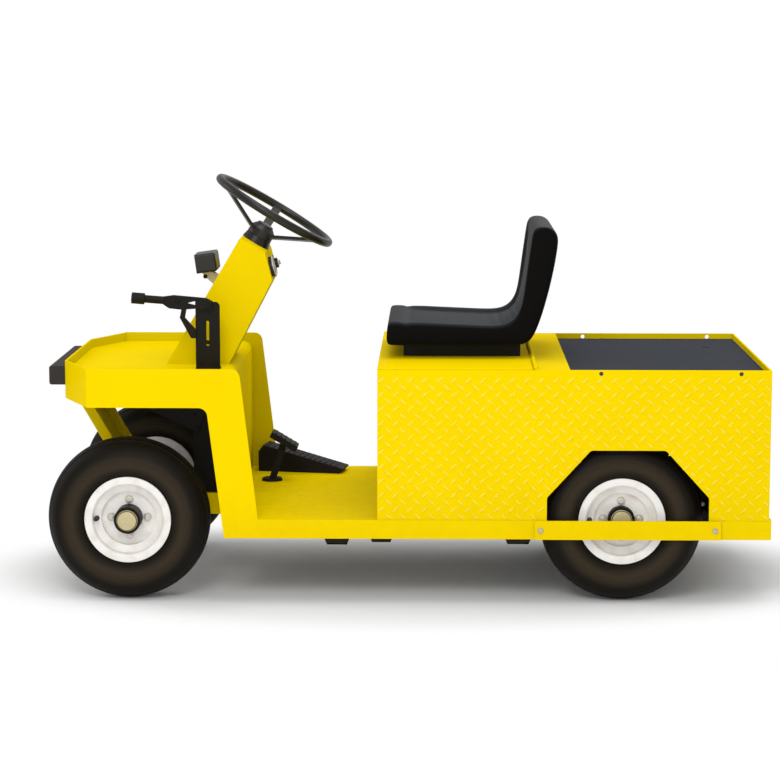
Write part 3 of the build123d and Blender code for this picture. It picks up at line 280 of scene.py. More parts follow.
coat(shader, retouched, satin(tree, grime, 0.40, 0.54), peel)
# Painted highlight: the paler colours of this copy stand partly for rubbed paint and partly for highlights on the
# lugs.
rubbed_highlit_enamel = enamel.copy()
rubbed_highlit_enamel.name = "rubbed_highlit_enamel"
rubbed_highlit_nodes = rubbed_highlit_enamel.node_tree.nodes
feed(rubbed_highlit_nodes[tint.node.name], {6: "#FFDF1C", 7: "#FFE646"})
feed(rubbed_highlit_nodes[shader.name], {"Specular IOR Level": 0.15})
print("Yellow enamel: orange peel drawn", PEEL_MM, "mm wide, coarser than life so that it shows")

# %% [markdown]
# The axles, springs and brackets are mild steel under a thin black enamel, semi-gloss and a little warm
# where dust sits on it. One mottle sets both the tint and the gloss, and the peel is the same as above.

# %% Black enamel
MOTTLE_MM = 60
black_enamel, tree, shader, place = new_finish("black_enamel", IOR=1.5, Specular_IOR_Level=0.15)
mottle = noise(tree, place, MOTTLE_MM, 5)
tint = blend(tree, mottle, "#0E0C07", "#1F1B12")
peel = bump(tree, noise(tree, place, PEEL_MM, 2), 0.15, 0.4)
coat(shader, tint, satin(tree, mottle, 0.38, 0.62), peel)
print("Black enamel: mottle", MOTTLE_MM, "mm")

# %% [markdown]
# The wheel rims are pressed steel in white baked enamel. Road film collects on them as pale brown blotches,
# stronger where the noise is high, while the coat under it stays glossy.

# %% White enamel
BLOTCH_MM = 38
white_enamel, tree, shader, place = new_finish(
    "white_enamel", IOR=1.5, Coat_Weight=0.2, Coat_Roughness=0.2
)
blotch = noise(tree, place, BLOTCH_MM, 5)
film = ramp(tree, blotch, 0.45, 0.8, 0.0, 0.55)
tint = blend(tree, film, "#FBF8F3", "#D8C9B7")
dimples = bump(tree, blotch, 0.06, 0.5)
coat(shader, tint, satin(tree, blotch, 0.28, 0.5), dimples)
print("White enamel: film blotches", BLOTCH_MM, "mm")

# %% [markdown]
# The wheel caps, the lamp strap and the bolts of the side bars are steel with a thin yellow-chromate zinc
# plate, which looks like dull beige metal. The wheel nuts and other bright fittings have the same plate
# without the yellow. Both are partly metallic, so some of the colour goes into the reflection, and a fine
# noise breaks up the gloss.

# %% Plated steel
SPANGLE_MM = 5


def plated_finish(name, dark, light, metallic):
    """Zinc plate between two colours."""
    material, tree, shader, place = new_finish(name, Metallic=metallic)
    spangle = noise(tree, place, SPANGLE_MM, 4)
    tint = blend(tree, spangle, dark, light)
    feed(shader, {"Base Color": tint, "Roughness": satin(tree, spangle, 0.32, 0.55)})
    return material


beige_plate = plated_finish("yellow_zinc_plate", "#B5A678", "#DCCFA2", 0.35)
clear_plate = plated_finish("clear_zinc_plate", "#B9B4AA", "#ECE8DF", 0.6)
print("Plated steel: spangle", SPANGLE_MM, "mm")

# %% [markdown]
# The tyres are carbon-black rubber. A dull warm band half-way up the sidewall is partly the brown blooming
# of new rubber and partly a painted sheen, while the tread and the bead stay black. The band follows the
# wheel, so each tyre mesh will carry its own radius as an attribute, and the material reads it.

# %% Tyre rubber
BLOOM_SHEEN_RADIUS = 0.160
BLOOM_SHEEN_WIDTH = 0.034
SKIN_MM = 4
tyre_rubber, tree, shader, place = new_finish("tyre_rubber", IOR=1.52, Specular_IOR_Level=0.1)
radius = add_node(tree, "ShaderNodeAttribute", attribute_name="wheel_radius").outputs["Fac"]
offset = add_node(tree, "ShaderNodeMath", {0: radius, 1: BLOOM_SHEEN_RADIUS}, operation="SUBTRACT").outputs[0]
away = add_node(tree, "ShaderNodeMath", {0: offset}, operation="ABSOLUTE").outputs[0]
# Painted sheen: the warm band round the sidewall is partly the rubber's brown blooming and partly a sheen painted
# into the colour.
bloom_and_sheen = ramp(tree, away, BLOOM_SHEEN_WIDTH, 0.0, kind="SMOOTHSTEP")
tint = blend(tree, bloom_and_sheen, "#17130E", "#382F22")
skin = noise(tree, place, SKIN_MM, 3)
pores = bump(tree, skin, 0.12, 0.3)
coat(shader, tint, satin(tree, skin, 0.42, 0.62), pores)
print("Tyre rubber: bloom round", BLOOM_SHEEN_RADIUS, "m from the axle")

# %% [markdown]
# The bumper, the load mat and the pedal pads are moulded rubber with a pebbled face, and the plastics are
# moulded too. A Voronoi pattern makes the pebbles and a broad noise the wear. Each finish has its own
# colours, pebble size and depth, roughness and gloss.

# %% Moulded rubber and plastic
WEAR_MM = 90
WEAR_ROUGH = 0.08


def pebbled_finish(name, dark, light, pebble_mm, depth_mm, rough, gloss):
    """Moulded skin between two colours, with pebbles that stand out."""
    material, tree, shader, place = new_finish(name, IOR=1.5, Specular_IOR_Level=gloss)
    wear = noise(tree, place, WEAR_MM, 6)
    tint = blend(tree, wear, dark, light)
    shine = satin(tree, wear, rough - WEAR_ROUGH, rough + WEAR_ROUGH)
    skin = bump(tree, pebbles(tree, place, pebble_mm), 0.35, depth_mm, invert=True)
    coat(shader, tint, shine, skin)
    return material


bumper_rubber = pebbled_finish("bumper_rubber", "#2A2725", "#403C39", 6, 0.5, 0.62, 0.15)
mat_rubber = pebbled_finish("mat_rubber", "#373A40", "#44474F", 5, 0.4, 0.75, 0.02)
pad_rubber = pebbled_finish("pedal_rubber", "#12100F", "#1F1C19", 3, 0.3, 0.6, 0.15)
moulded_plastic = pebbled_finish("moulded_plastic", "#12100B", "#201C14", 2.5, 0.15, 0.36, 0.4)
battery_plastic = pebbled_finish("battery_plastic", "#202022", "#303034", 4, 0.2, 0.5, 0.2)
print("Moulded finishes: bumper, mat, pedals, plastic, battery")

# %% [markdown]
# The seat is a one-piece moulded foam with an integral vinyl skin. Its grain is a leather print, about two
# millimetres across. The skin is slightly greyer where it faces up, and less where it faces forward: partly
# the wear of sitting and dust, and partly a painted top light. The seat mesh will carry that share as an
# attribute of its own, so the tint stays with the skin when the lid tips up.

# %% Seat vinyl
GRAIN_MM = 3
seat_vinyl, tree, shader, place = new_finish(
    "seat_vinyl", IOR=1.48, Specular_IOR_Level=0.04, Sheen_Weight=0.01, Sheen_Roughness=0.5
)
# Painted top light: this attribute greys the skin where it faces up and forward, partly for wear and partly for
# light.
wear_light_share = add_node(tree, "ShaderNodeAttribute", attribute_name="wear_and_top_light").outputs["Fac"]
tint = blend(tree, wear_light_share, "#0C0B09", "#25282B")
grain = pebbles(tree, place, GRAIN_MM)
leather = bump(tree, grain, 0.25, 0.25)
coat(shader, tint, satin(tree, grain, 0.40, 0.56), leather)
print("Seat vinyl: grain", GRAIN_MM, "mm, drawn half as coarse again as life")

# %% [markdown]
# Lenses are moulded acrylic. The tail lamps are red with level bands, and the head lamp is clear with
# upright flutes. A Wave texture changes the tint and bends the surface normal, which is how such prisms
# look from outside. Blender's wave turns through twenty radians for each unit of its scale, so the length
# of a wave is divided by that.

# %% Lamp lenses
BAND_MM = 6 * math.tau
FLUTE_MM = 9 * math.tau
WAVE_RADIANS = 20


def wave(tree, place, length_mm, direction):
    """Straight waves of this length along one axis, from 0 to 1."""
    scale = math.tau * per_metre(length_mm) / WAVE_RADIANS
    inputs = {"Vector": place, "Scale": scale, "Distortion": 0.0}
    settings = {"wave_type": "BANDS", "bands_direction": direction}
    return add_node(tree, "ShaderNodeTexWave", inputs, **settings).outputs["Fac"]


red_lens, tree, shader, place = new_finish(
    "red_acrylic", Roughness=0.12, IOR=1.49, Coat_Weight=0.6, Coat_Roughness=0.05
)
prism = wave(tree, place, BAND_MM, "Z")
tint = blend(tree, prism, "#8E0A0C", "#C81A16")
feed(shader, {"Base Color": tint, "Normal": bump(tree, prism, 0.4, 0.8)})
clear_lens, tree, shader, place = new_finish("clear_acrylic", Roughness=0.08, IOR=1.49, Metallic=0.35)
flute = wave(tree, place, FLUTE_MM, "Y")
tint = blend(tree, flute, "#C6CBD0", "#F2F4F5")
feed(shader, {"Base Color": tint, "Normal": bump(tree, flute, 0.5, 1.0)})
print("Lenses: red bands", round(BAND_MM), "mm, clear flutes", round(FLUTE_MM), "mm")

# %% [markdown]
# ## Dressing the CAD nodes
# The plate work is already exact in CAD, so those nodes stay and only get a finish, chosen by the
# material slot that the record gives each one. Real plate has a broken edge that catches the light. A CAD
# mesh may not be changed, but modifiers may sit on it: Weld joins its loose triangles, Bevel breaks the
# edges, and Weighted Normal keeps the big flat faces flat to the eye. The two drilled panels go without,
# because the slivers round their small holes would fold over.

# %% Finish for each material slot
finish_of_slot = {
    "yellow_paint": enamel,
    "black_paint": black_enamel,
    "white_paint": white_enamel,
    "beige_plate": beige_plate,
    "cast_parts": black_enamel,
    "bumper_rubber": bumper_rubber,
    "mat_rubber": mat_rubber,
    "tyre_rubber": tyre_rubber,
    "seat_vinyl": seat_vinyl,
    "black_plastic": moulded_plastic,
    "red_lens": red_lens,
    "battery_case": battery_plastic,
}
EDGE_MM = {
    "yellow_paint": 1.6,
    "black_paint": 1.0,
    "cast_parts": 2.0,
    "white_paint": 2.2,
    "bumper_rubber": 3.0,
}
EDGE_DEGREES = 40
WELD_MM = 0.01
DRILLED = ("rear_panel_left", "rear_panel_right")
PEDALS = ("brake_pedal", "accelerator_pedal")
for part in frame["record"]["subparts"]:
    node = nodes[part["node"]]
    slot_name = part["material_slot"]
    if not node.material_slots:
        node.data.materials.append(None)
    for material_slot in node.material_slots:
        material_slot.material = finish_of_slot[slot_name]
    if slot_name in EDGE_MM and node.name not in DRILLED:
        weld = node.modifiers.new("joined_triangles", "WELD")
        weld.merge_threshold = WELD_MM * MM
        edge = node.modifiers.new("broken_edge", "BEVEL")
        edge.width = EDGE_MM[slot_name] * MM
        edge.segments = 2
        edge.limit_method = "ANGLE"
        edge.angle_limit = math.radians(EDGE_DEGREES)
        shade = node.modifiers.new("even_shade", "WEIGHTED_NORMAL")
        shade.keep_sharp = False
for name in PEDALS:
    nodes[name].material_slots[0].material = pad_rubber
print("Dressed", len(nodes), "CAD nodes")


# %% [markdown]
# ## Helpers for modelling
# A few moves come back in every piece below. One writes an object's place into its mesh. Another draws a
# chain of edges, by extruding one vertex from point to point, and spins it round an axle. Settling a
# finished piece means giving it a name and a finish and letting it ride on a CAD body.

# %% Pick, spin and settle
def pick_only(piece):
    """Leave one object selected and active."""
    bpy.ops.object.select_all(action="DESELECT")
    piece.select_set(True)
    view_layer.objects.active = piece


def fresh(add_primitive, **settings):
    """Add a primitive as the only selected object."""
    bpy.ops.object.select_all(action="DESELECT")
    add_primitive(**settings)
    return bpy.context.object


def freeze(piece):
    """Write a piece's place, turn and size into its mesh."""
    pick_only(piece)
    bpy.ops.object.transform_apply(location=True, rotation=True, scale=True)
    return piece


def face_outwards(piece):
    """Turn all faces of a piece outwards."""
    pick_only(piece)
    bpy.ops.object.mode_set(mode="EDIT")
    bpy.ops.mesh.select_all(action="SELECT")
    bpy.ops.mesh.normals_make_consistent(inside=False)
    bpy.ops.object.mode_set(mode="OBJECT")


def select_vertices(piece, test):
    """Go into edit mode with only the vertices selected whose place passes a test."""
    pick_only(piece)
    bpy.ops.object.mode_set(mode="EDIT")
    bpy.ops.mesh.select_mode(type="VERT")
    bpy.ops.mesh.select_all(action="DESELECT")
    bpy.ops.object.mode_set(mode="OBJECT")
    for vertex in piece.data.vertices:
        vertex.select = test(vertex.co)
    bpy.ops.object.mode_set(mode="EDIT")


def spin_chain(points, centre, axis, steps):
    """Extrude a point into a chain of edges, turn it once round an axis and face it outwards."""
    piece = fresh(bpy.ops.mesh.primitive_circle_add, vertices=3, radius=MM)
    bpy.ops.object.mode_set(mode="EDIT")
    bpy.ops.mesh.select_all(action="SELECT")
    bpy.ops.mesh.merge(type="CENTER")
    bpy.ops.transform.translate(value=points[0])
    for start, end in zip(points, points[1:]):
        step = Vector(end) - Vector(start)
        bpy.ops.mesh.extrude_region_move(TRANSFORM_OT_translate={"value": step})
    bpy.ops.mesh.select_all(action="SELECT")
    bpy.ops.mesh.spin(steps=steps, angle=math.tau, center=centre, axis=axis)
    bpy.ops.mesh.select_all(action="SELECT")
    bpy.ops.mesh.remove_doubles(threshold=WELD_MM * MM)
    bpy.ops.mesh.normals_make_consistent(inside=False)
    bpy.ops.object.mode_set(mode="OBJECT")
    return piece


def settle(piece, name, finish, body, smooth_degrees=30):
    """Finish a piece: place into its mesh, smooth shading, name, material and body."""
    freeze(piece)
    bpy.ops.object.shade_smooth_by_angle(angle=math.radians(smooth_degrees))
    piece.name = name
    piece.data.name = name
    piece.data.materials.clear()
    piece.data.materials.append(finish)
    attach(piece, body)
    return piece


print("Helpers ready: pick, spin and settle")


# %% [markdown]
# Small hardware is made of two blocks with softened edges, one round and one straight. A modifier is
# applied as soon as it is set. The others copy and join pieces and stand one on a face, with a matrix of
# three directions: right, up and out.

# %% Blocks, copies and faces
def shape_by(piece, kind, **settings):
    """Give a piece a modifier with these settings and apply it."""
    pick_only(piece)
    modifier = piece.modifiers.new(kind, kind)
    for name, value in settings.items():
        setattr(modifier, name, value)
    bpy.ops.object.modifier_apply(modifier=modifier.name)


def bevel_edges(piece, width_mm, segments):
    """Round the sharp edges of a piece."""
    limit = {"limit_method": "ANGLE", "angle_limit": math.radians(30)}
    shape_by(piece, "BEVEL", width=width_mm * MM, segments=segments, **limit)


def disc(radius_mm, high_mm, place_mm, round_mm, corners=40, segments=2):
    """A flat round block in the XY plane with softened edges."""
    size = {"radius": radius_mm * MM, "depth": high_mm * MM}
    block = fresh(bpy.ops.mesh.primitive_cylinder_add, vertices=corners, **size)
    block.location = Vector(place_mm) * MM
    bevel_edges(block, round_mm, segments)
    return freeze(block)


def bar(size_mm, place_mm, round_mm, turn_degrees=0, segments=2):
    """A straight block in the XY plane with softened edges."""
    block = fresh(bpy.ops.mesh.primitive_cube_add, size=1)
    block.scale = Vector(size_mm) * MM
    freeze(block)
    bevel_edges(block, round_mm, segments)
    block.rotation_euler = (0, 0, math.radians(turn_degrees))
    block.location = Vector(place_mm) * MM
    return freeze(block)


def copy_to(piece, place):
    """Copy a piece with its own mesh and move the copy."""
    pick_only(piece)
    bpy.ops.object.duplicate()
    copy = bpy.context.object
    copy.location = Vector(place)
    return copy


def join(pieces):
    """Join pieces into the first one."""
    bpy.ops.object.select_all(action="DESELECT")
    for piece in pieces:
        piece.select_set(True)
    view_layer.objects.active = pieces[0]
    bpy.ops.object.join()
    return bpy.context.object


def stand_on(piece, place, right, up, out):
    """Put a piece that was made in the XY plane, facing +Z, on a face with these directions."""
    turn = Matrix((right, up, out)).transposed().to_4x4()
    freeze(piece)
    piece.matrix_world = Matrix.Translation(place) @ turn
    return piece


print("Helpers ready: blocks, copies and faces")

# %% [markdown]
# ## Tyres
# The tug runs on small rib-tread tyres: plain rubber rings with four grooves round the tread, a rounded
# shoulder and three thin ribs on each sidewall. The section is drawn once, from the crown down to the bead
# and back along the inside, then spun round the axle. The arcs are the same ones that the CAD solid has,
# worked out from the boxes of its tyre and rim, so the detailed tyre keeps its form.

# %% Arcs of the tyre
BEAD_INSET = 4.5 * MM
FLANGE_GAP = 1.5 * MM
WALL_MIDDLE = 168 * MM
tyre_low, tyre_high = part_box("front_tyre_left")
rim_low, rim_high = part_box("front_rim_left")
wheel_centre = (tyre_low + tyre_high) / 2
tyre_radius = (tyre_high.z - tyre_low.z) / 2
tyre_half = (tyre_high.y - tyre_low.y) / 2
bead_half = (rim_high.y - rim_low.y) / 2 - BEAD_INSET
wall_foot = (rim_high.z - rim_low.z) / 2 + FLANGE_GAP
wall_head = 2 * WALL_MIDDLE - wall_foot
wall_rise = WALL_MIDDLE - wall_foot
wall_bulge = tyre_half - bead_half
wall_curve = (wall_rise**2 + wall_bulge**2) / (2 * wall_bulge)
wall_hub = (tyre_half - wall_curve, WALL_MIDDLE)
wall_angle = math.asin(wall_rise / wall_curve)
crown = tyre_radius - wall_head
tread_curve = (bead_half**2 + crown**2) / (2 * crown)
tread_hub = tyre_radius - tread_curve
print("Tyre radius", round(tyre_radius / MM, 1), "mm, sidewall curve", round(wall_curve / MM, 1), "mm")

# %% Tyre section
RUBBER = 12 * MM
BEAD_FOOT = 101.8 * MM
CROWN_MM = 5
GROOVES_MM = ((10, 15), (31, 36))
GROOVE_DEEP_MM = 5
GROOVE_DRAFT = 0.7 * MM
LAND_MM = 7
WALL_STEPS = 40
RIB_RADII_MM = (160, 168, 200)
RIB_MM = 1.2
RIB_TOP_MM = 1.2
RIB_FOOT_MM = 1.9
RIB_CLEAR = 2 * MM


def on_tread(across):
    """Point of the tread arc at a distance from the tyre's middle plane."""
    return (across, tread_hub + math.sqrt(tread_curve**2 - across**2))


half_section = [on_tread(0.0), on_tread(CROWN_MM * MM)]
for start_mm, end_mm in GROOVES_MM:
    start = on_tread(start_mm * MM)
    end = on_tread(end_mm * MM)
    half_section += [start, (start[0] + GROOVE_DRAFT, start[1] - GROOVE_DEEP_MM * MM)]
    half_section += [(end[0] - GROOVE_DRAFT, end[1] - GROOVE_DEEP_MM * MM), end]
    half_section.append(on_tread((end_mm + LAND_MM) * MM))
heights = []
for number in range(WALL_STEPS + 1):
    angle = wall_angle * (1 - 2 * number / WALL_STEPS)
    heights.append((WALL_MIDDLE + wall_curve * math.sin(angle), 0.0))
for rib in RIB_RADII_MM:
    heights = [pair for pair in heights if abs(pair[0] - rib * MM) > RIB_CLEAR]
    for offset, lift in ((RIB_FOOT_MM, 0), (RIB_TOP_MM, RIB_MM), (-RIB_TOP_MM, RIB_MM), (-RIB_FOOT_MM, 0)):
        heights.append(((rib + offset) * MM, lift * MM))
for up, lift in sorted(heights, reverse=True):
    angle = math.asin((up - WALL_MIDDLE) / wall_curve)
    reach = wall_curve + lift
    half_section.append((wall_hub[0] + reach * math.cos(angle), wall_hub[1] + reach * math.sin(angle)))
half_section += [(bead_half, BEAD_FOOT), (bead_half - RUBBER, BEAD_FOOT), (bead_half - RUBBER, wall_foot)]
half_section += [(tyre_half - RUBBER, WALL_MIDDLE), (bead_half - RUBBER, wall_head - RUBBER)]
half_section.append((0.0, tyre_radius - RUBBER))
other_half = [(-across, up) for across, up in reversed(half_section[1:-1])]
section = half_section + other_half + half_section[:1]
section = [(wheel_centre.x, wheel_centre.y + across, wheel_centre.z + up) for across, up in section]
print("Tyre section has", len(section), "points")

# %% Spin the tyre and copy it to the four wheels
TYRE_STEPS = 112
wheel_names = [f"{end}_{{}}_{side}" for end in ("front", "rear") for side in ("left", "right")]
first_tyre = spin_chain(section, wheel_centre, (0, 1, 0), TYRE_STEPS)
reach = first_tyre.data.attributes.new("wheel_radius", "FLOAT", "POINT")
for vertex in first_tyre.data.vertices:
    arm = vertex.co - wheel_centre
    reach.data[vertex.index].value = math.hypot(arm.x, arm.z)
tyres = [first_tyre]
for name in wheel_names[1:]:
    low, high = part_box(name.format("tyre"))
    tyres.append(copy_to(first_tyre, (low + high) / 2 - wheel_centre))
for name, tyre in zip(wheel_names, tyres):
    settle(tyre, name.format("ribbed_tyre"), tyre_rubber, name.format("wheel"), 35)
    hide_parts(name.format("tyre"))
print("Tyres:", [tyre.name for tyre in tyres], "faces each:", len(first_tyre.data.polygons))

# %% [markdown]
# ## Tread plate
# The sides of the rear box and the floor of the footwell are rolled tread plate. Its lugs are low lenses
# of steel, about 25 mm long, that lean left and right by turns on a 40 mm grid. One lug has only a few
# faces: a flat eight-cornered disc is stretched, raised and drawn in. Two arrays lay it out over the whole
# panel, and the lugs that would hang over the arch, the holes or the edges are then deleted.

# %% One lug, laid out over a panel
PITCH = 40.2 * MM
LUG_HALF_LONG_MM = 12.5
LUG_HALF_WIDE_MM = 3.9
LUG_HIGH_MM = 2.4
LUG_TOP = (0.72, 0.45, 1)
LUG_LEAN = 40
LUG_SMOOTH = 20
LUG_MARGIN = 9 * MM


def lug_field(columns, rows, lean):
    """Rows of lugs in the XY plane, the first one at the origin, standing up in Z."""
    lug = fresh(bpy.ops.mesh.primitive_circle_add, vertices=8, radius=1, fill_type="NGON")
    bpy.ops.object.mode_set(mode="EDIT")
    bpy.ops.mesh.select_all(action="SELECT")
    bpy.ops.transform.resize(value=(LUG_HALF_LONG_MM * MM, LUG_HALF_WIDE_MM * MM, 1))
    bpy.ops.mesh.extrude_region_move(TRANSFORM_OT_translate={"value": (0, 0, LUG_HIGH_MM * MM)})
    bpy.ops.transform.resize(value=LUG_TOP)
    bpy.ops.mesh.select_all(action="SELECT")
    bpy.ops.transform.rotate(value=-math.radians(lean), orient_axis="Z", center_override=(0, 0, 0))
    bpy.ops.mesh.normals_make_consistent(inside=False)
    bpy.ops.object.mode_set(mode="OBJECT")
    for count, offset in ((columns, (PITCH, 0, 0)), (rows, (0, PITCH, 0))):
        spread = {"use_constant_offset": True, "constant_offset_displace": offset}
        shape_by(lug, "ARRAY", count=count, use_relative_offset=False, **spread)
    return lug


def tread_plate(length, width, is_plate):
    """Both leans of lug over a rectangle from the origin, where the middle of a lug is over plate."""
    def hangs_over(place):
        across = start + round((place.x - start) / PITCH) * PITCH
        along = start + round((place.y - start) / PITCH) * PITCH
        inside_length = LUG_MARGIN < across < length - LUG_MARGIN
        inside_width = LUG_MARGIN < along < width - LUG_MARGIN
        return not (inside_length and inside_width and is_plate(across, along))

    fields = []
    for lean, shift in ((LUG_LEAN, 0.25), (-LUG_LEAN, 0.75)):
        start = shift * PITCH
        field = lug_field(int(length / PITCH) + 1, int(width / PITCH) + 1, lean)
        field.location = (start, start, 0)
        freeze(field)
        select_vertices(field, hangs_over)
        bpy.ops.mesh.delete(type="VERT")
        bpy.ops.object.mode_set(mode="OBJECT")
        fields.append(field)
    return join(fields)


print("A lug is", 2 * LUG_HALF_LONG_MM, "by", 2 * LUG_HALF_WIDE_MM, "by", LUG_HIGH_MM, "mm")

# %% Lugs on the two rear panels
ARCH_INSET = 34 * MM
ARCH_SIDE = 64 * MM
ARCH_TALL = 197 * MM
ARCH_TOP_HALF = 103.5 * MM
ARCH_CLEAR = 1.3 * LUG_MARGIN
STAKE_HOLES = ((-0.9005, 0.648), (-0.5155, 0.648))
HOLE_CLEAR = 18 * MM
panel_low, panel_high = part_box("rear_panel_left")
bar_low, bar_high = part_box("side_bars")
well_low, well_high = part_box("wheel_wells")
arch_middle = (bar_low.x + bar_high.x) / 2
arch_half = (bar_high.x - bar_low.x) / 2 - ARCH_INSET


def over_side_plate(across, up):
    """Is this place, in metres from the panel's rear lower corner, clear of the arch and the holes?"""
    x = panel_low.x + across
    z = panel_low.z + up
    if any(math.hypot(x - hole_x, z - hole_z) < HOLE_CLEAR for hole_x, hole_z in STAKE_HOLES):
        return False
    reach = abs(x - arch_middle)
    slope = (ARCH_TALL - ARCH_SIDE) / (arch_half - ARCH_TOP_HALF)
    edge = ARCH_TALL - max(0.0, reach - ARCH_TOP_HALF) * slope
    return reach > arch_half + LUG_MARGIN or up > edge + ARCH_CLEAR


panel_size = panel_high - panel_low
left_lugs = tread_plate(panel_size.x, panel_size.z, over_side_plate)
panel_corner = (panel_low.x, panel_high.y, panel_low.z)
freeze(stand_on(left_lugs, panel_corner, (1, 0, 0), (0, 0, 1), (0, 1, 0)))
right_lugs = copy_to(left_lugs, (0, 0, 0))
right_lugs.scale = (1, -1, 1)
freeze(right_lugs)
for lugs, side_name in ((left_lugs, "left"), (right_lugs, "right")):
    face_outwards(lugs)
    settle(lugs, f"tread_lugs_{side_name}", rubbed_highlit_enamel, "chassis", LUG_SMOOTH)
print("Lug faces on a side panel:", len(left_lugs.data.polygons))

# %% [markdown]
# The floor of the footwell has the same lugs, trodden down to less than half their height.

# %% Lugs on the footwell floor
FLOOR_GAP = 8 * MM
PEDAL_CLEAR = Vector((0.02, 0.02, 0))
TRODDEN = 0.45
floor_low, floor_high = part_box("floor_plate")
box_front = panel_high.x
blocks = []
for name in PEDALS:
    low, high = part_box(name)
    blocks.append((low - PEDAL_CLEAR, high + PEDAL_CLEAR))


def over_floor_plate(across, along):
    """Is this place on the floor clear of the pedals?"""
    x = box_front + across
    y = floor_low.y + along
    return not any(low.x < x < high.x and low.y < y < high.y for low, high in blocks)


floor_length = floor_high.x - box_front - FLOOR_GAP
floor_lugs = tread_plate(floor_length, floor_high.y - floor_low.y, over_floor_plate)
floor_lugs.location = (box_front, floor_low.y, floor_high.z)
floor_lugs.scale.z = TRODDEN
settle(floor_lugs, "tread_lugs_floor", enamel, "chassis", LUG_SMOOTH)
print("Lug faces on the floor:", len(floor_lugs.data.polygons))

# %% [markdown]
# ## Wheel fittings
# Each rim is held by four hexagon nuts on studs and has a rubber valve stem on its forward side, and the
# hub carries a pressed grease cap. The nut is a six-sided block with softened edges on a round washer,
# with the stud's end standing out of it. The stem and the cap are outlines that are spun.

# %% Nuts, valves and caps
STUD_CIRCLE = 51 * MM
DISC_FACE = 8 * MM
NUT_MM = (10, 8, 5)
WASHER_MM = 1.6
HEAD_GAP_MM = 1.5
VALVE_FOOT = (90 * MM, 24 * MM)
VALVE = [(0, 0), (8.5, 0), (8.5, 4), (6.2, 8), (6, 20), (4.6, 21), (4.6, 28), (3.6, 29), (0, 29)]
CAP_INSET = 9 * MM
CAP = [(0, -0.5), (28.6, -0.5), (28.6, 2.2), (29.6, 2.6), (29.6, 4.0), (28.6, 4.6), (28.2, 7.2)]
CAP += [(26.8, 8.8), (24.5, 9.5), (12.0, 9.8), (0, 9.8)]


def hexagon(radius_mm, high_mm, stud_mm=0):
    """A hexagon head or nut on the XZ plane at the origin, pointing along +Y, on a round washer."""
    head = disc(radius_mm, high_mm, (0, 0, high_mm / 2 + HEAD_GAP_MM), 0.16 * radius_mm, 6)
    washer = disc(1.25 * radius_mm, WASHER_MM, (0, 0, WASHER_MM / 2), 0.4, 20, 1)
    pieces = [head, washer]
    if stud_mm:
        pieces.append(disc(0.55 * radius_mm, stud_mm, (0, 0, high_mm + stud_mm / 2), 0.8, 16, 1))
    bolt = join(pieces)
    bolt.rotation_euler = (-math.radians(90), 0, 0)
    return freeze(bolt)


def turned_copy(piece, place, outward):
    """Copy a piece that points along +Y to a place, pointing along +Y (1) or -Y (-1)."""
    copy = copy_to(piece, place)
    if outward < 0:
        copy.rotation_euler = (0, 0, math.pi)
    return freeze(copy)


def turned_shape(outline, foot, outward, steps):
    """Spin an outline (across, along) in millimetres round a line along +Y or -Y through its foot."""
    points = [foot + Vector((across * MM, outward * along * MM, 0)) for across, along in outline]
    return spin_chain(points, foot, (0, 1, 0), steps)


nut = hexagon(*NUT_MM)
for name in wheel_names:
    side = 1 if name.endswith("left") else -1
    body = name.format("wheel")
    low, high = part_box(name.format("rim"))
    middle = (low + high) / 2
    nuts = []
    for quarter in range(4):
        angle = quarter * math.pi / 2
        spot = Vector((STUD_CIRCLE * math.cos(angle), side * DISC_FACE, STUD_CIRCLE * math.sin(angle)))
        nuts.append(turned_copy(nut, middle + spot, side))
    settle(join(nuts), name.format("wheel_nuts"), clear_plate, body)
    valve_foot = middle + Vector((VALVE_FOOT[0], side * VALVE_FOOT[1], 0))
    valve = turned_shape(VALVE, valve_foot, side, 16)
    settle(valve, name.format("valve_stem"), moulded_plastic, body)
    low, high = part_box(name.format("hub"))
    end_y = high.y if side > 0 else low.y
    cap_foot = Vector((middle.x, end_y - side * CAP_INSET, middle.z))
    grease_cap = turned_shape(CAP, cap_foot, side, 48)
    settle(grease_cap, name.format("grease_cap"), beige_plate, body, 50)
bpy.data.objects.remove(nut)
print("Nuts, valves and caps on", len(wheel_names), "wheels")

# %% [markdown]
# ## Seat
# The seat is one moulding, an L of foam with a tough skin: a flat roll with crisp edges across the front,
# then a nick on each side where a raised rim starts that runs back, up the backrest and over its top, and
# a softer panel sunk between the rims. A grid of faces is laid along the L, one row for each station of
# its outline, and extruded once to make the underside and back. Each row is then moved to its station,
# which gives a point (X, Z) on top and one underneath. Two subdivisions round it off.

# %% Seat moulding
SEAT_STATIONS = [
    ((78, 762), (82, 706)),
    ((72, 768), (74, 699)),
    ((56, 768), (56, 699)),
    ((34, 768), (34, 699)),
    ((27, 768), (27, 699)),
    ((20, 768), (20, 699)),
    ((-70, 764), (-70, 699)),
    ((-160, 760), (-160, 699)),
    ((-232, 757), (-240, 699)),
    ((-266, 764), (-294, 699)),
    ((-290, 784), (-328, 708)),
    ((-303, 815), (-348, 748)),
    ((-310, 862), (-370, 815)),
    ((-318, 925), (-392, 905)),
    ((-327, 990), (-405, 985)),
    ((-331, 1017), (-405, 1008)),
    ((-337, 1031), (-397, 1024)),
    ((-348, 1038), (-382, 1038)),
]
SUNK_AT_STATION = (0, 0, 0, 0, 0.2, 0.9, 1, 1, 1, 1, 1, 1, 1, 1, 0.9, 0.35, 0.05, 0)
SEAT_COLUMNS = (0, 0.5, 0.745, 0.79, 0.84, 0.90, 0.965, 0.99, 1)
SUNK_MM = (10, 11, 12, 9, 1, 0, 1, 4, 11)
RIM_COLUMN = 4
NICK_STATION = 4
NICK_MM = 7
cushion_low, cushion_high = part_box("seat_cushion")
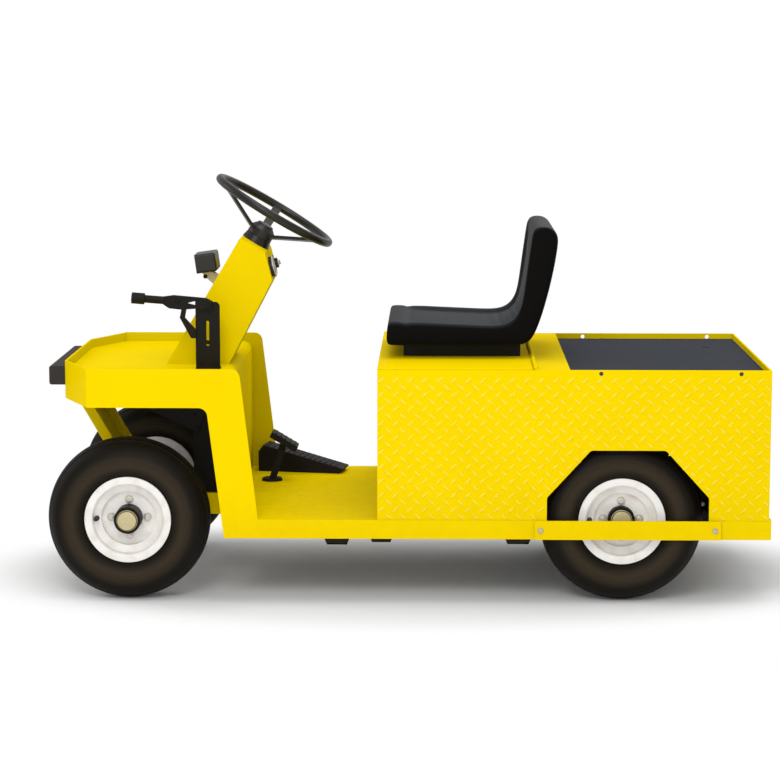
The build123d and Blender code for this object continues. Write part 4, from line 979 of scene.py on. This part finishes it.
seat_half = (cushion_high.y - cushion_low.y) / 2
columns = [-part for part in reversed(SEAT_COLUMNS[1:])] + list(SEAT_COLUMNS)
last_row = len(SEAT_STATIONS) - 1
last_column = len(columns) - 1
grid = {"x_subdivisions": last_row, "y_subdivisions": last_column, "size": 2}
seat = fresh(bpy.ops.mesh.primitive_grid_add, location=(0, 0, 0), **grid)
bpy.ops.object.mode_set(mode="EDIT")
bpy.ops.mesh.select_all(action="SELECT")
bpy.ops.mesh.extrude_region_move(TRANSFORM_OT_translate={"value": (0, 0, -1)})
bpy.ops.object.mode_set(mode="OBJECT")
face_outwards(seat)
for vertex in seat.data.vertices:
    row = round((vertex.co.x + 1) / 2 * last_row)
    column = round((vertex.co.y + 1) / 2 * last_column)
    top, under = (Vector(point) for point in SEAT_STATIONS[row])
    across = abs(column - len(SEAT_COLUMNS) + 1)
    depth = (under - top).normalized()
    outside = across > RIM_COLUMN
    if vertex.co.z < -0.5:
        spot = under - depth * (SUNK_MM[across] if outside else 0)
    else:
        edge_mm = SUNK_MM[across] if outside else SUNK_MM[across] * SUNK_AT_STATION[row]
        if row == NICK_STATION and across >= RIM_COLUMN:
            edge_mm += NICK_MM
        spot = top + depth * edge_mm
    vertex.co = (spot.x * MM, columns[column] * seat_half, spot.y * MM)
shape_by(seat, "SUBSURF", levels=2, render_levels=2)
face_outwards(seat)
print("Seat moulding faces:", len(seat.data.polygons))

# %% [markdown]
# Foam pushes its skin outwards wherever nothing stiffens it, so the sunk panel is slightly crowned. The
# moulding is remeshed into an even skin, everything but that panel is pinned, and a short cloth
# simulation with air pressure and no gravity swells the panel. A cap on the movement keeps it below the
# rims, and the result is applied, so no simulation is left on the piece. Last, each point of the skin
# gets its share of wear and painted top light: most where it faces up, less where it faces forward.

# %% Crown of the sunk panel
VOXEL_MM = 5
CROWN_CAP_MM = 8
PRESSURE = 4
CLOTH_FRAMES = 20
FACING_SITTER = 0.5
PANEL_HALF = 0.72 * seat_half
PANEL_FRONT = 0.012
PANEL_TOP = 1.0
FORWARD_WEAR_LIGHT = 0.4
WEAR_LIGHT_START = 0.25
WEAR_LIGHT_RANGE = 0.6


def on_sunk_panel(vertex):
    """Is this a point of the panel between the rims, facing the sitter?"""
    if max(vertex.normal.z, vertex.normal.x) <= FACING_SITTER:
        return False
    return abs(vertex.co.y) < PANEL_HALF and vertex.co.x < PANEL_FRONT and vertex.co.z < PANEL_TOP


shape_by(seat, "REMESH", mode="VOXEL", voxel_size=VOXEL_MM * MM)
soft = [vertex.index for vertex in seat.data.vertices if on_sunk_panel(vertex)]
still = [vertex.co.copy() for vertex in seat.data.vertices]
pins = seat.vertex_groups.new(name="pinned")
pins.add(sorted(set(range(len(still))) - set(soft)), 1.0, "REPLACE")
foam = seat.modifiers.new("foam", "CLOTH")
foam.settings.use_pressure = True
foam.settings.uniform_pressure_force = PRESSURE
foam.settings.vertex_group_mass = pins.name
foam.settings.effector_weights.gravity = 0
for step in range(1, CLOTH_FRAMES + 1):
    scene.frame_set(step)
bpy.ops.object.modifier_apply(modifier=foam.name)
scene.frame_set(1)
seat.vertex_groups.clear()
for vertex, place in zip(seat.data.vertices, still):
    move = vertex.co - place
    if move.length > CROWN_CAP_MM * MM:
        vertex.co = place + move.normalized() * CROWN_CAP_MM * MM
shape_by(seat, "SMOOTH", factor=0.5, iterations=2)
# Painted top light: each point's share comes from the way it faces, partly for wear and partly for light from
# above and in front.
wear_light_share = seat.data.attributes.new("wear_and_top_light", "FLOAT", "POINT")
for vertex in seat.data.vertices:
    lit = max(vertex.normal.z, FORWARD_WEAR_LIGHT * vertex.normal.x)
    wear_light_share.data[vertex.index].value = min(1.0, max(0.0, (lit - WEAR_LIGHT_START) / WEAR_LIGHT_RANGE))
settle(seat, "seat_moulding", seat_vinyl, "seat_lid", 60)
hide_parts("seat_cushion", "seat_back")
print("Seat skin faces:", len(seat.data.polygons), "crowned points:", len(soft))

# %% [markdown]
# ## Bolts
# The plates are held by hexagon bolts: two through each side bar, three through each splash plate, two low
# on each wheel well, five on the parking brake and two on the lamp strap. The hexagon from the wheels is
# made again in two sizes, without a stud, and copied to each place, pointing left or right.

# %% Bolts on the body
BAR_BOLT_INSET = 17 * MM
SPLASH_BOLTS = ((0.636, 0.490), (0.630, 0.450), (0.760, 0.560))
WELL_WALL = 0.272
WELL_BOLT_INSET = 11 * MM
WELL_BOLT_Z = 0.2535
LEVER_THICK = 12 * MM
STRAP_BOLT = Vector((0.613, 0.020, 0.8755))
small_bolt = hexagon(5, 3.5)
large_bolt = hexagon(7, 4.5)
bar_bolt_z = (bar_low.z + bar_high.z) / 2
splash_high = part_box("splash_plates")[1]
bracket_low, bracket_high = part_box("brake_bracket")


def fix_bolts(name, finish, bolts):
    """Copy bolts to their places and settle them as one piece. Each is (bolt, place, outward)."""
    copies = [turned_copy(bolt, place, outward) for bolt, place, outward in bolts]
    settle(join(copies), name, finish, "chassis")


for side, side_name in ((1, "left"), (-1, "right")):
    ends = (bar_low.x + BAR_BOLT_INSET, bar_high.x - BAR_BOLT_INSET)
    bolts = [(large_bolt, (x, side * bar_high.y, bar_bolt_z), side) for x in ends]
    fix_bolts(f"bar_bolts_{side_name}", beige_plate, bolts)
    bolts = [(small_bolt, (x, side * splash_high.y, z), side) for x, z in SPLASH_BOLTS]
    fix_bolts(f"splash_bolts_{side_name}", black_enamel, bolts)
    ends = (well_low.x + WELL_BOLT_INSET, well_high.x - WELL_BOLT_INSET)
    bolts = [(small_bolt, (x, side * WELL_WALL, WELL_BOLT_Z), side) for x in ends]
    fix_bolts(f"well_bolts_{side_name}", clear_plate, bolts)
bracket_face = bracket_high.y
lever_face = bracket_face + LEVER_THICK
brake_bolts = [
    (small_bolt, (0.607, bracket_face, 0.652), 1),
    (small_bolt, (0.568, bracket_face, 0.648), 1),
    (small_bolt, (bracket_low.x + 34.5 * MM, bracket_face, 0.709), 1),
    (small_bolt, (0.670, lever_face, 0.826), 1),
    (large_bolt, (bracket_low.x + 32.4 * MM, lever_face, 0.8125), 1),
]
fix_bolts("brake_bolts", black_enamel, brake_bolts)
bolts = [(small_bolt, STRAP_BOLT * Vector((1, side, 1)), side) for side in (1, -1)]
fix_bolts("strap_bolts", black_enamel, bolts)
for spare in (small_bolt, large_bolt):
    bpy.data.objects.remove(spare)
print("Bolts on the bars, splash plates, wheel wells, parking brake and lamp strap")

# %% [markdown]
# ## Lamps
# The head lamp's housing is tipped down by eight degrees. Its lens is a slab with rounded edges that fills
# the recess at the front. The tail lamps get a plated ring each. A ring is one small section spun round
# the lamp's middle.

# %% Head lamp lens and tail lamp rings
LAMP_TILT = math.radians(8)
LENS_SIZE_MM = (3.4, 109, 44)
LENS_AHEAD_MM = 27.8
RING = [(-0.4, 0), (-0.4, -5.5), (1.2, -7.2), (3.4, -7.0), (5.4, -4.6), (6.2, 0), (-0.4, 0)]
lamp_low, lamp_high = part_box("head_lamp")
lamp_forward = Vector((math.cos(LAMP_TILT), 0, -math.sin(LAMP_TILT)))
lens = bar(LENS_SIZE_MM, (0, 0, 0), 1.4, segments=3)
lens.rotation_euler = (0, LAMP_TILT, 0)
lens.location = (lamp_low + lamp_high) / 2 + lamp_forward * LENS_AHEAD_MM * MM
settle(lens, "head_lamp_lens", clear_lens, "chassis")
tail_low, tail_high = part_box("tail_lamps")
tail_radius = (tail_high.z - tail_low.z) / 2
tail_z = (tail_low.z + tail_high.z) / 2
rings = []
for side in (1, -1):
    foot = Vector((tail_high.x, side * (tail_high.y - tail_radius), tail_z))
    section = [foot + Vector((along * MM, 0, tail_radius + out * MM)) for out, along in RING]
    rings.append(spin_chain(section, foot, (1, 0, 0), 56))
settle(join(rings), "tail_lamp_rings", clear_plate, "chassis", 40)
print("Head lamp lens", [round(v / MM) for v in lens.dimensions], "mm, tail lamp rings", len(rings))

# %% [markdown]
# ## Driver's controls
# What the driver reads and touches is small: a round battery gauge with a plated bezel and a needle, a key
# in its switch, a horn button on the steering hub, and rubber ribs on the two pedals. All but the button
# are made flat at the origin and then stood on their face. The button is spun round the steering axis.

# %% Gauge and key
GAUGE_UP = Vector((20, 0, 80)).normalized()
GAUGE_OUT = Vector((-GAUGE_UP.z, 0, GAUGE_UP.x))
GAUGE_RIGHT = Vector((0, -1, 0))
GAUGE_ASIDE = Vector((0, 0.060, 0))
GAUGE_DROP_MM = 7
BEZEL = [(24, 9), (30.4, 9), (30.4, 10.4), (28.6, 12.2), (26.2, 12.0), (24, 10.2), (24, 9)]
MARK_RADIUS_MM = 19
gauge_foot = Vector((0.42101, 0, 0.91355)) - GAUGE_UP * GAUGE_DROP_MM * MM
bezel = spin_chain([(across * MM, 0, up * MM) for across, up in BEZEL], (0, 0, 0), (0, 0, 1), 48)
dial = disc(24.2, 1.2, (0, 0, 9.5), 0.3)
marks = []
for degrees in range(-90, 91, 30):
    angle = math.radians(degrees)
    spot = (MARK_RADIUS_MM * math.sin(angle), MARK_RADIUS_MM * math.cos(angle), 10.3)
    marks.append(bar((1.6, 5, 0.5), spot, 0.1, -degrees))
marks.append(bar((1.3, 21, 0.8), (6, 6, 10.6), 0.2, -45))
marks.append(disc(2.6, 1.6, (0, 0, 10.8), 0.4, 20))
key = [disc(10, 2, (0, 0, 15), 0.6), bar((2.4, 15, 7), (0, 0, 18), 0.8, 25), disc(5, 4, (0, 0, 16), 0.8)]
for piece, aside, name, finish, slot_name, smooth_degrees in (
    (bezel, GAUGE_ASIDE, "gauge_bezel", clear_plate, "beige_plate", 40),
    (dial, GAUGE_ASIDE, "gauge_dial", moulded_plastic, "black_plastic", 30),
    (join(marks), GAUGE_ASIDE, "gauge_needle", white_enamel, "white_paint", 30),
    (join(key), -GAUGE_ASIDE, "start_key", clear_plate, "beige_plate", 30),
):
    stand_on(piece, gauge_foot + aside, GAUGE_RIGHT, GAUGE_UP, GAUGE_OUT)
    settle(piece, name, finish, "chassis", smooth_degrees)
print("Gauge, needle and key")

# %% Horn button
BUTTON = [(0, 54.4), (25, 54.4), (25, 57), (23.6, 59.4), (20, 60.6)]
BUTTON += [(18.6, 59.6), (17, 60.8), (9, 63), (0, 63.6)]
steering_joint = next(joint for joint in frame["joints"] if joint["name"] == "steering_turn")
column_top = Vector(steering_joint["pos_m"])
steering_axis = Vector(steering_joint["axis"]).normalized()
steering_across = Vector((steering_axis.z, 0, -steering_axis.x))
button = [column_top + steering_across * across * MM + steering_axis * up * MM for across, up in BUTTON]
horn = spin_chain(button, column_top, steering_axis, 48)
settle(horn, "horn_button", moulded_plastic, "steering_wheel", 40)
print("Horn button faces:", len(horn.data.polygons))

# %% Rubber ribs on the pedals
PAD_TILT = math.radians(31)
PAD_MIDDLE = Vector((0.3975, -0.185, 0.122))
PAD_RIB_MM = (60, 5, 2.6)
PAD_RIBS_MM = range(-32, 33, 16)
TREADLE_RIBS_MM = range(14, 236, 17)
TREADLE_TURN = math.radians(10.5)
TREADLE_SLOPE = math.atan2(67, 255)
TREADLE_INSET = 0.093
TREADLE_RISE = Vector((0, 0, 0.082))
TREADLE_HEAD_MM = (15, 42)
TREADLE_RIB_MM = (70, 5, 2.6)
floor_top = Vector((0, 0, floor_high.z))
pad_up = Vector((math.cos(PAD_TILT), 0, math.sin(PAD_TILT)))
pad_out = Vector((-math.sin(PAD_TILT), 0, math.cos(PAD_TILT)))
ribs = [bar(PAD_RIB_MM, (0, along_mm, 9.8), 0.8) for along_mm in PAD_RIBS_MM]
pad_ribs = stand_on(join(ribs), PAD_MIDDLE + floor_top, Vector((0, -1, 0)), pad_up, pad_out)
settle(pad_ribs, "brake_pad_ribs", pad_rubber, "chassis")
treadle_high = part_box("accelerator_pedal")[1]
along = Vector((math.cos(TREADLE_TURN), -math.sin(TREADLE_TURN), 0))
across = Vector((-math.sin(TREADLE_TURN), -math.cos(TREADLE_TURN), 0))
treadle_up = along * math.cos(TREADLE_SLOPE) + Vector((0, 0, math.sin(TREADLE_SLOPE)))
treadle_out = across.cross(treadle_up)
treadle_corner = Vector((treadle_high.x, TREADLE_INSET - floor_high.y, 0)) + floor_top
treadle_head = treadle_corner + TREADLE_RISE
treadle_head += (across * TREADLE_HEAD_MM[1] - along * TREADLE_HEAD_MM[0]) * MM
ribs = [bar(TREADLE_RIB_MM, (0, -back_mm, 0.8), 0.8) for back_mm in TREADLE_RIBS_MM]
treadle_ribs = stand_on(join(ribs), treadle_head, across, treadle_up, treadle_out)
settle(treadle_ribs, "treadle_ribs", pad_rubber, "chassis")
print("Ribs on the brake pad and the treadle")

# %% [markdown]
# ## Brackets and skirts
# Two short brackets of bent plate show as dark shapes below the sill on each side. Each has a web on the
# sill's inner face and a foot that reaches inwards, so it hangs from the sill and touches nothing that
# turns. A narrow skirt lengthens the inner wall of each wheel well in front of the axle and behind it.

# %% Brackets under the sill and skirts of the wheel wells
SILL_INNER = 0.4390
PLATE_MM = 5
WEB_TALL_MM = 26
FOOT_WIDE_MM = 52
FOOT_TAPER = 0.74
BRACKETS = ((0.214, 0.166, 76), (-0.290, 0.169, 80))
SKIRT_MM = (112, 3, 62)
SKIRT_INSET = 57 * MM
SKIRT_Z = 0.216
brackets = []
for x, foot_z, long_mm in BRACKETS:
    for side in (1, -1):
        web = bar((long_mm, PLATE_MM, WEB_TALL_MM), (0, 0, WEB_TALL_MM / 2), 0.8)
        select_vertices(web, lambda place: place.z < 2 * MM)
        bpy.ops.transform.resize(value=(FOOT_TAPER, 1, 1))
        bpy.ops.object.mode_set(mode="OBJECT")
        web.location = (x, side * (SILL_INNER - PLATE_MM / 2 * MM), foot_z)
        foot = bar((long_mm * FOOT_TAPER, FOOT_WIDE_MM, PLATE_MM), (0, 0, PLATE_MM / 2), 0.8)
        foot.location = (x, side * (SILL_INNER - FOOT_WIDE_MM / 2 * MM), foot_z)
        brackets += [freeze(web), freeze(foot)]
settle(join(brackets), "sill_brackets", black_enamel, "chassis")
skirts = []
for x in (well_low.x + SKIRT_INSET, well_high.x - SKIRT_INSET):
    for side in (1, -1):
        skirt = bar(SKIRT_MM, (0, 0, 0), 0.6)
        skirt.location = (x, side * (WELL_WALL - SKIRT_MM[1] / 2 * MM), SKIRT_Z)
        skirts.append(freeze(skirt))
settle(join(skirts), "well_skirts", black_enamel, "chassis")
print("Brackets under the sill:", 2 * len(BRACKETS), "skirts:", len(skirts))

# %% [markdown]
# ## Batteries
# Under the seat lid the block stands for six lead-acid batteries. Their lids, filler caps and the posts and
# links between them show when the lid is tipped up, so they are added as low pieces on the block.

# %% Battery lids, caps and links
CELL_GAP_MM = 12
CAPS_EACH = 6
CAP_PITCH_MM = 38
CAP_ASIDE_MM = 22
POST_PLACE_MM = (55, 95, 15)
LINK_MM = (16, 130, 5)
LINK_PLACE_MM = (40, 137, 23)
pack_low, pack_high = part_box("battery_pack")
pack_size = (pack_high - pack_low) / MM
long_mm = pack_size.x / 2
wide_mm = pack_size.y / 3
lids = []
caps = []
links = []
for column in (-1, 1):
    for row in (-1, 0, 1):
        x = column * long_mm / 2
        y = row * wide_mm
        lids.append(bar((long_mm - CELL_GAP_MM, wide_mm - CELL_GAP_MM, 9), (x, y, 4), 4))
        for number in range(CAPS_EACH):
            cap_y = y + (number - (CAPS_EACH - 1) / 2) * CAP_PITCH_MM
            caps.append(disc(13, 8, (x + CAP_ASIDE_MM * column, cap_y, 12), 2, 20))
        for end in (-1, 1):
            post = (x - column * POST_PLACE_MM[0], y + end * POST_PLACE_MM[1], POST_PLACE_MM[2])
            links.append(disc(9, 16, post, 2, 20))
    for end in (-1, 1):
        spot = (column * LINK_PLACE_MM[0], end * LINK_PLACE_MM[1], LINK_PLACE_MM[2])
        links.append(bar(LINK_MM, spot, 1.5))
pack_middle = (pack_low + pack_high) / 2
for pieces, name, finish, slot_name in (
    (lids, "battery_lids", battery_plastic, "battery_case"),
    (caps, "battery_caps", moulded_plastic, "black_plastic"),
    (links, "battery_links", clear_plate, "beige_plate"),
):
    group = join(pieces)
    group.location = (pack_middle.x, pack_middle.y, pack_high.z)
    settle(group, name, finish, "chassis")
print("Batteries:", len(lids), "lids,", len(caps), "caps")

# %% [markdown]
# ## Finish
# The picture uses the Standard view, so a colour shows about as it was written.

# %% Standard view
scene.view_settings.view_transform = "Standard"
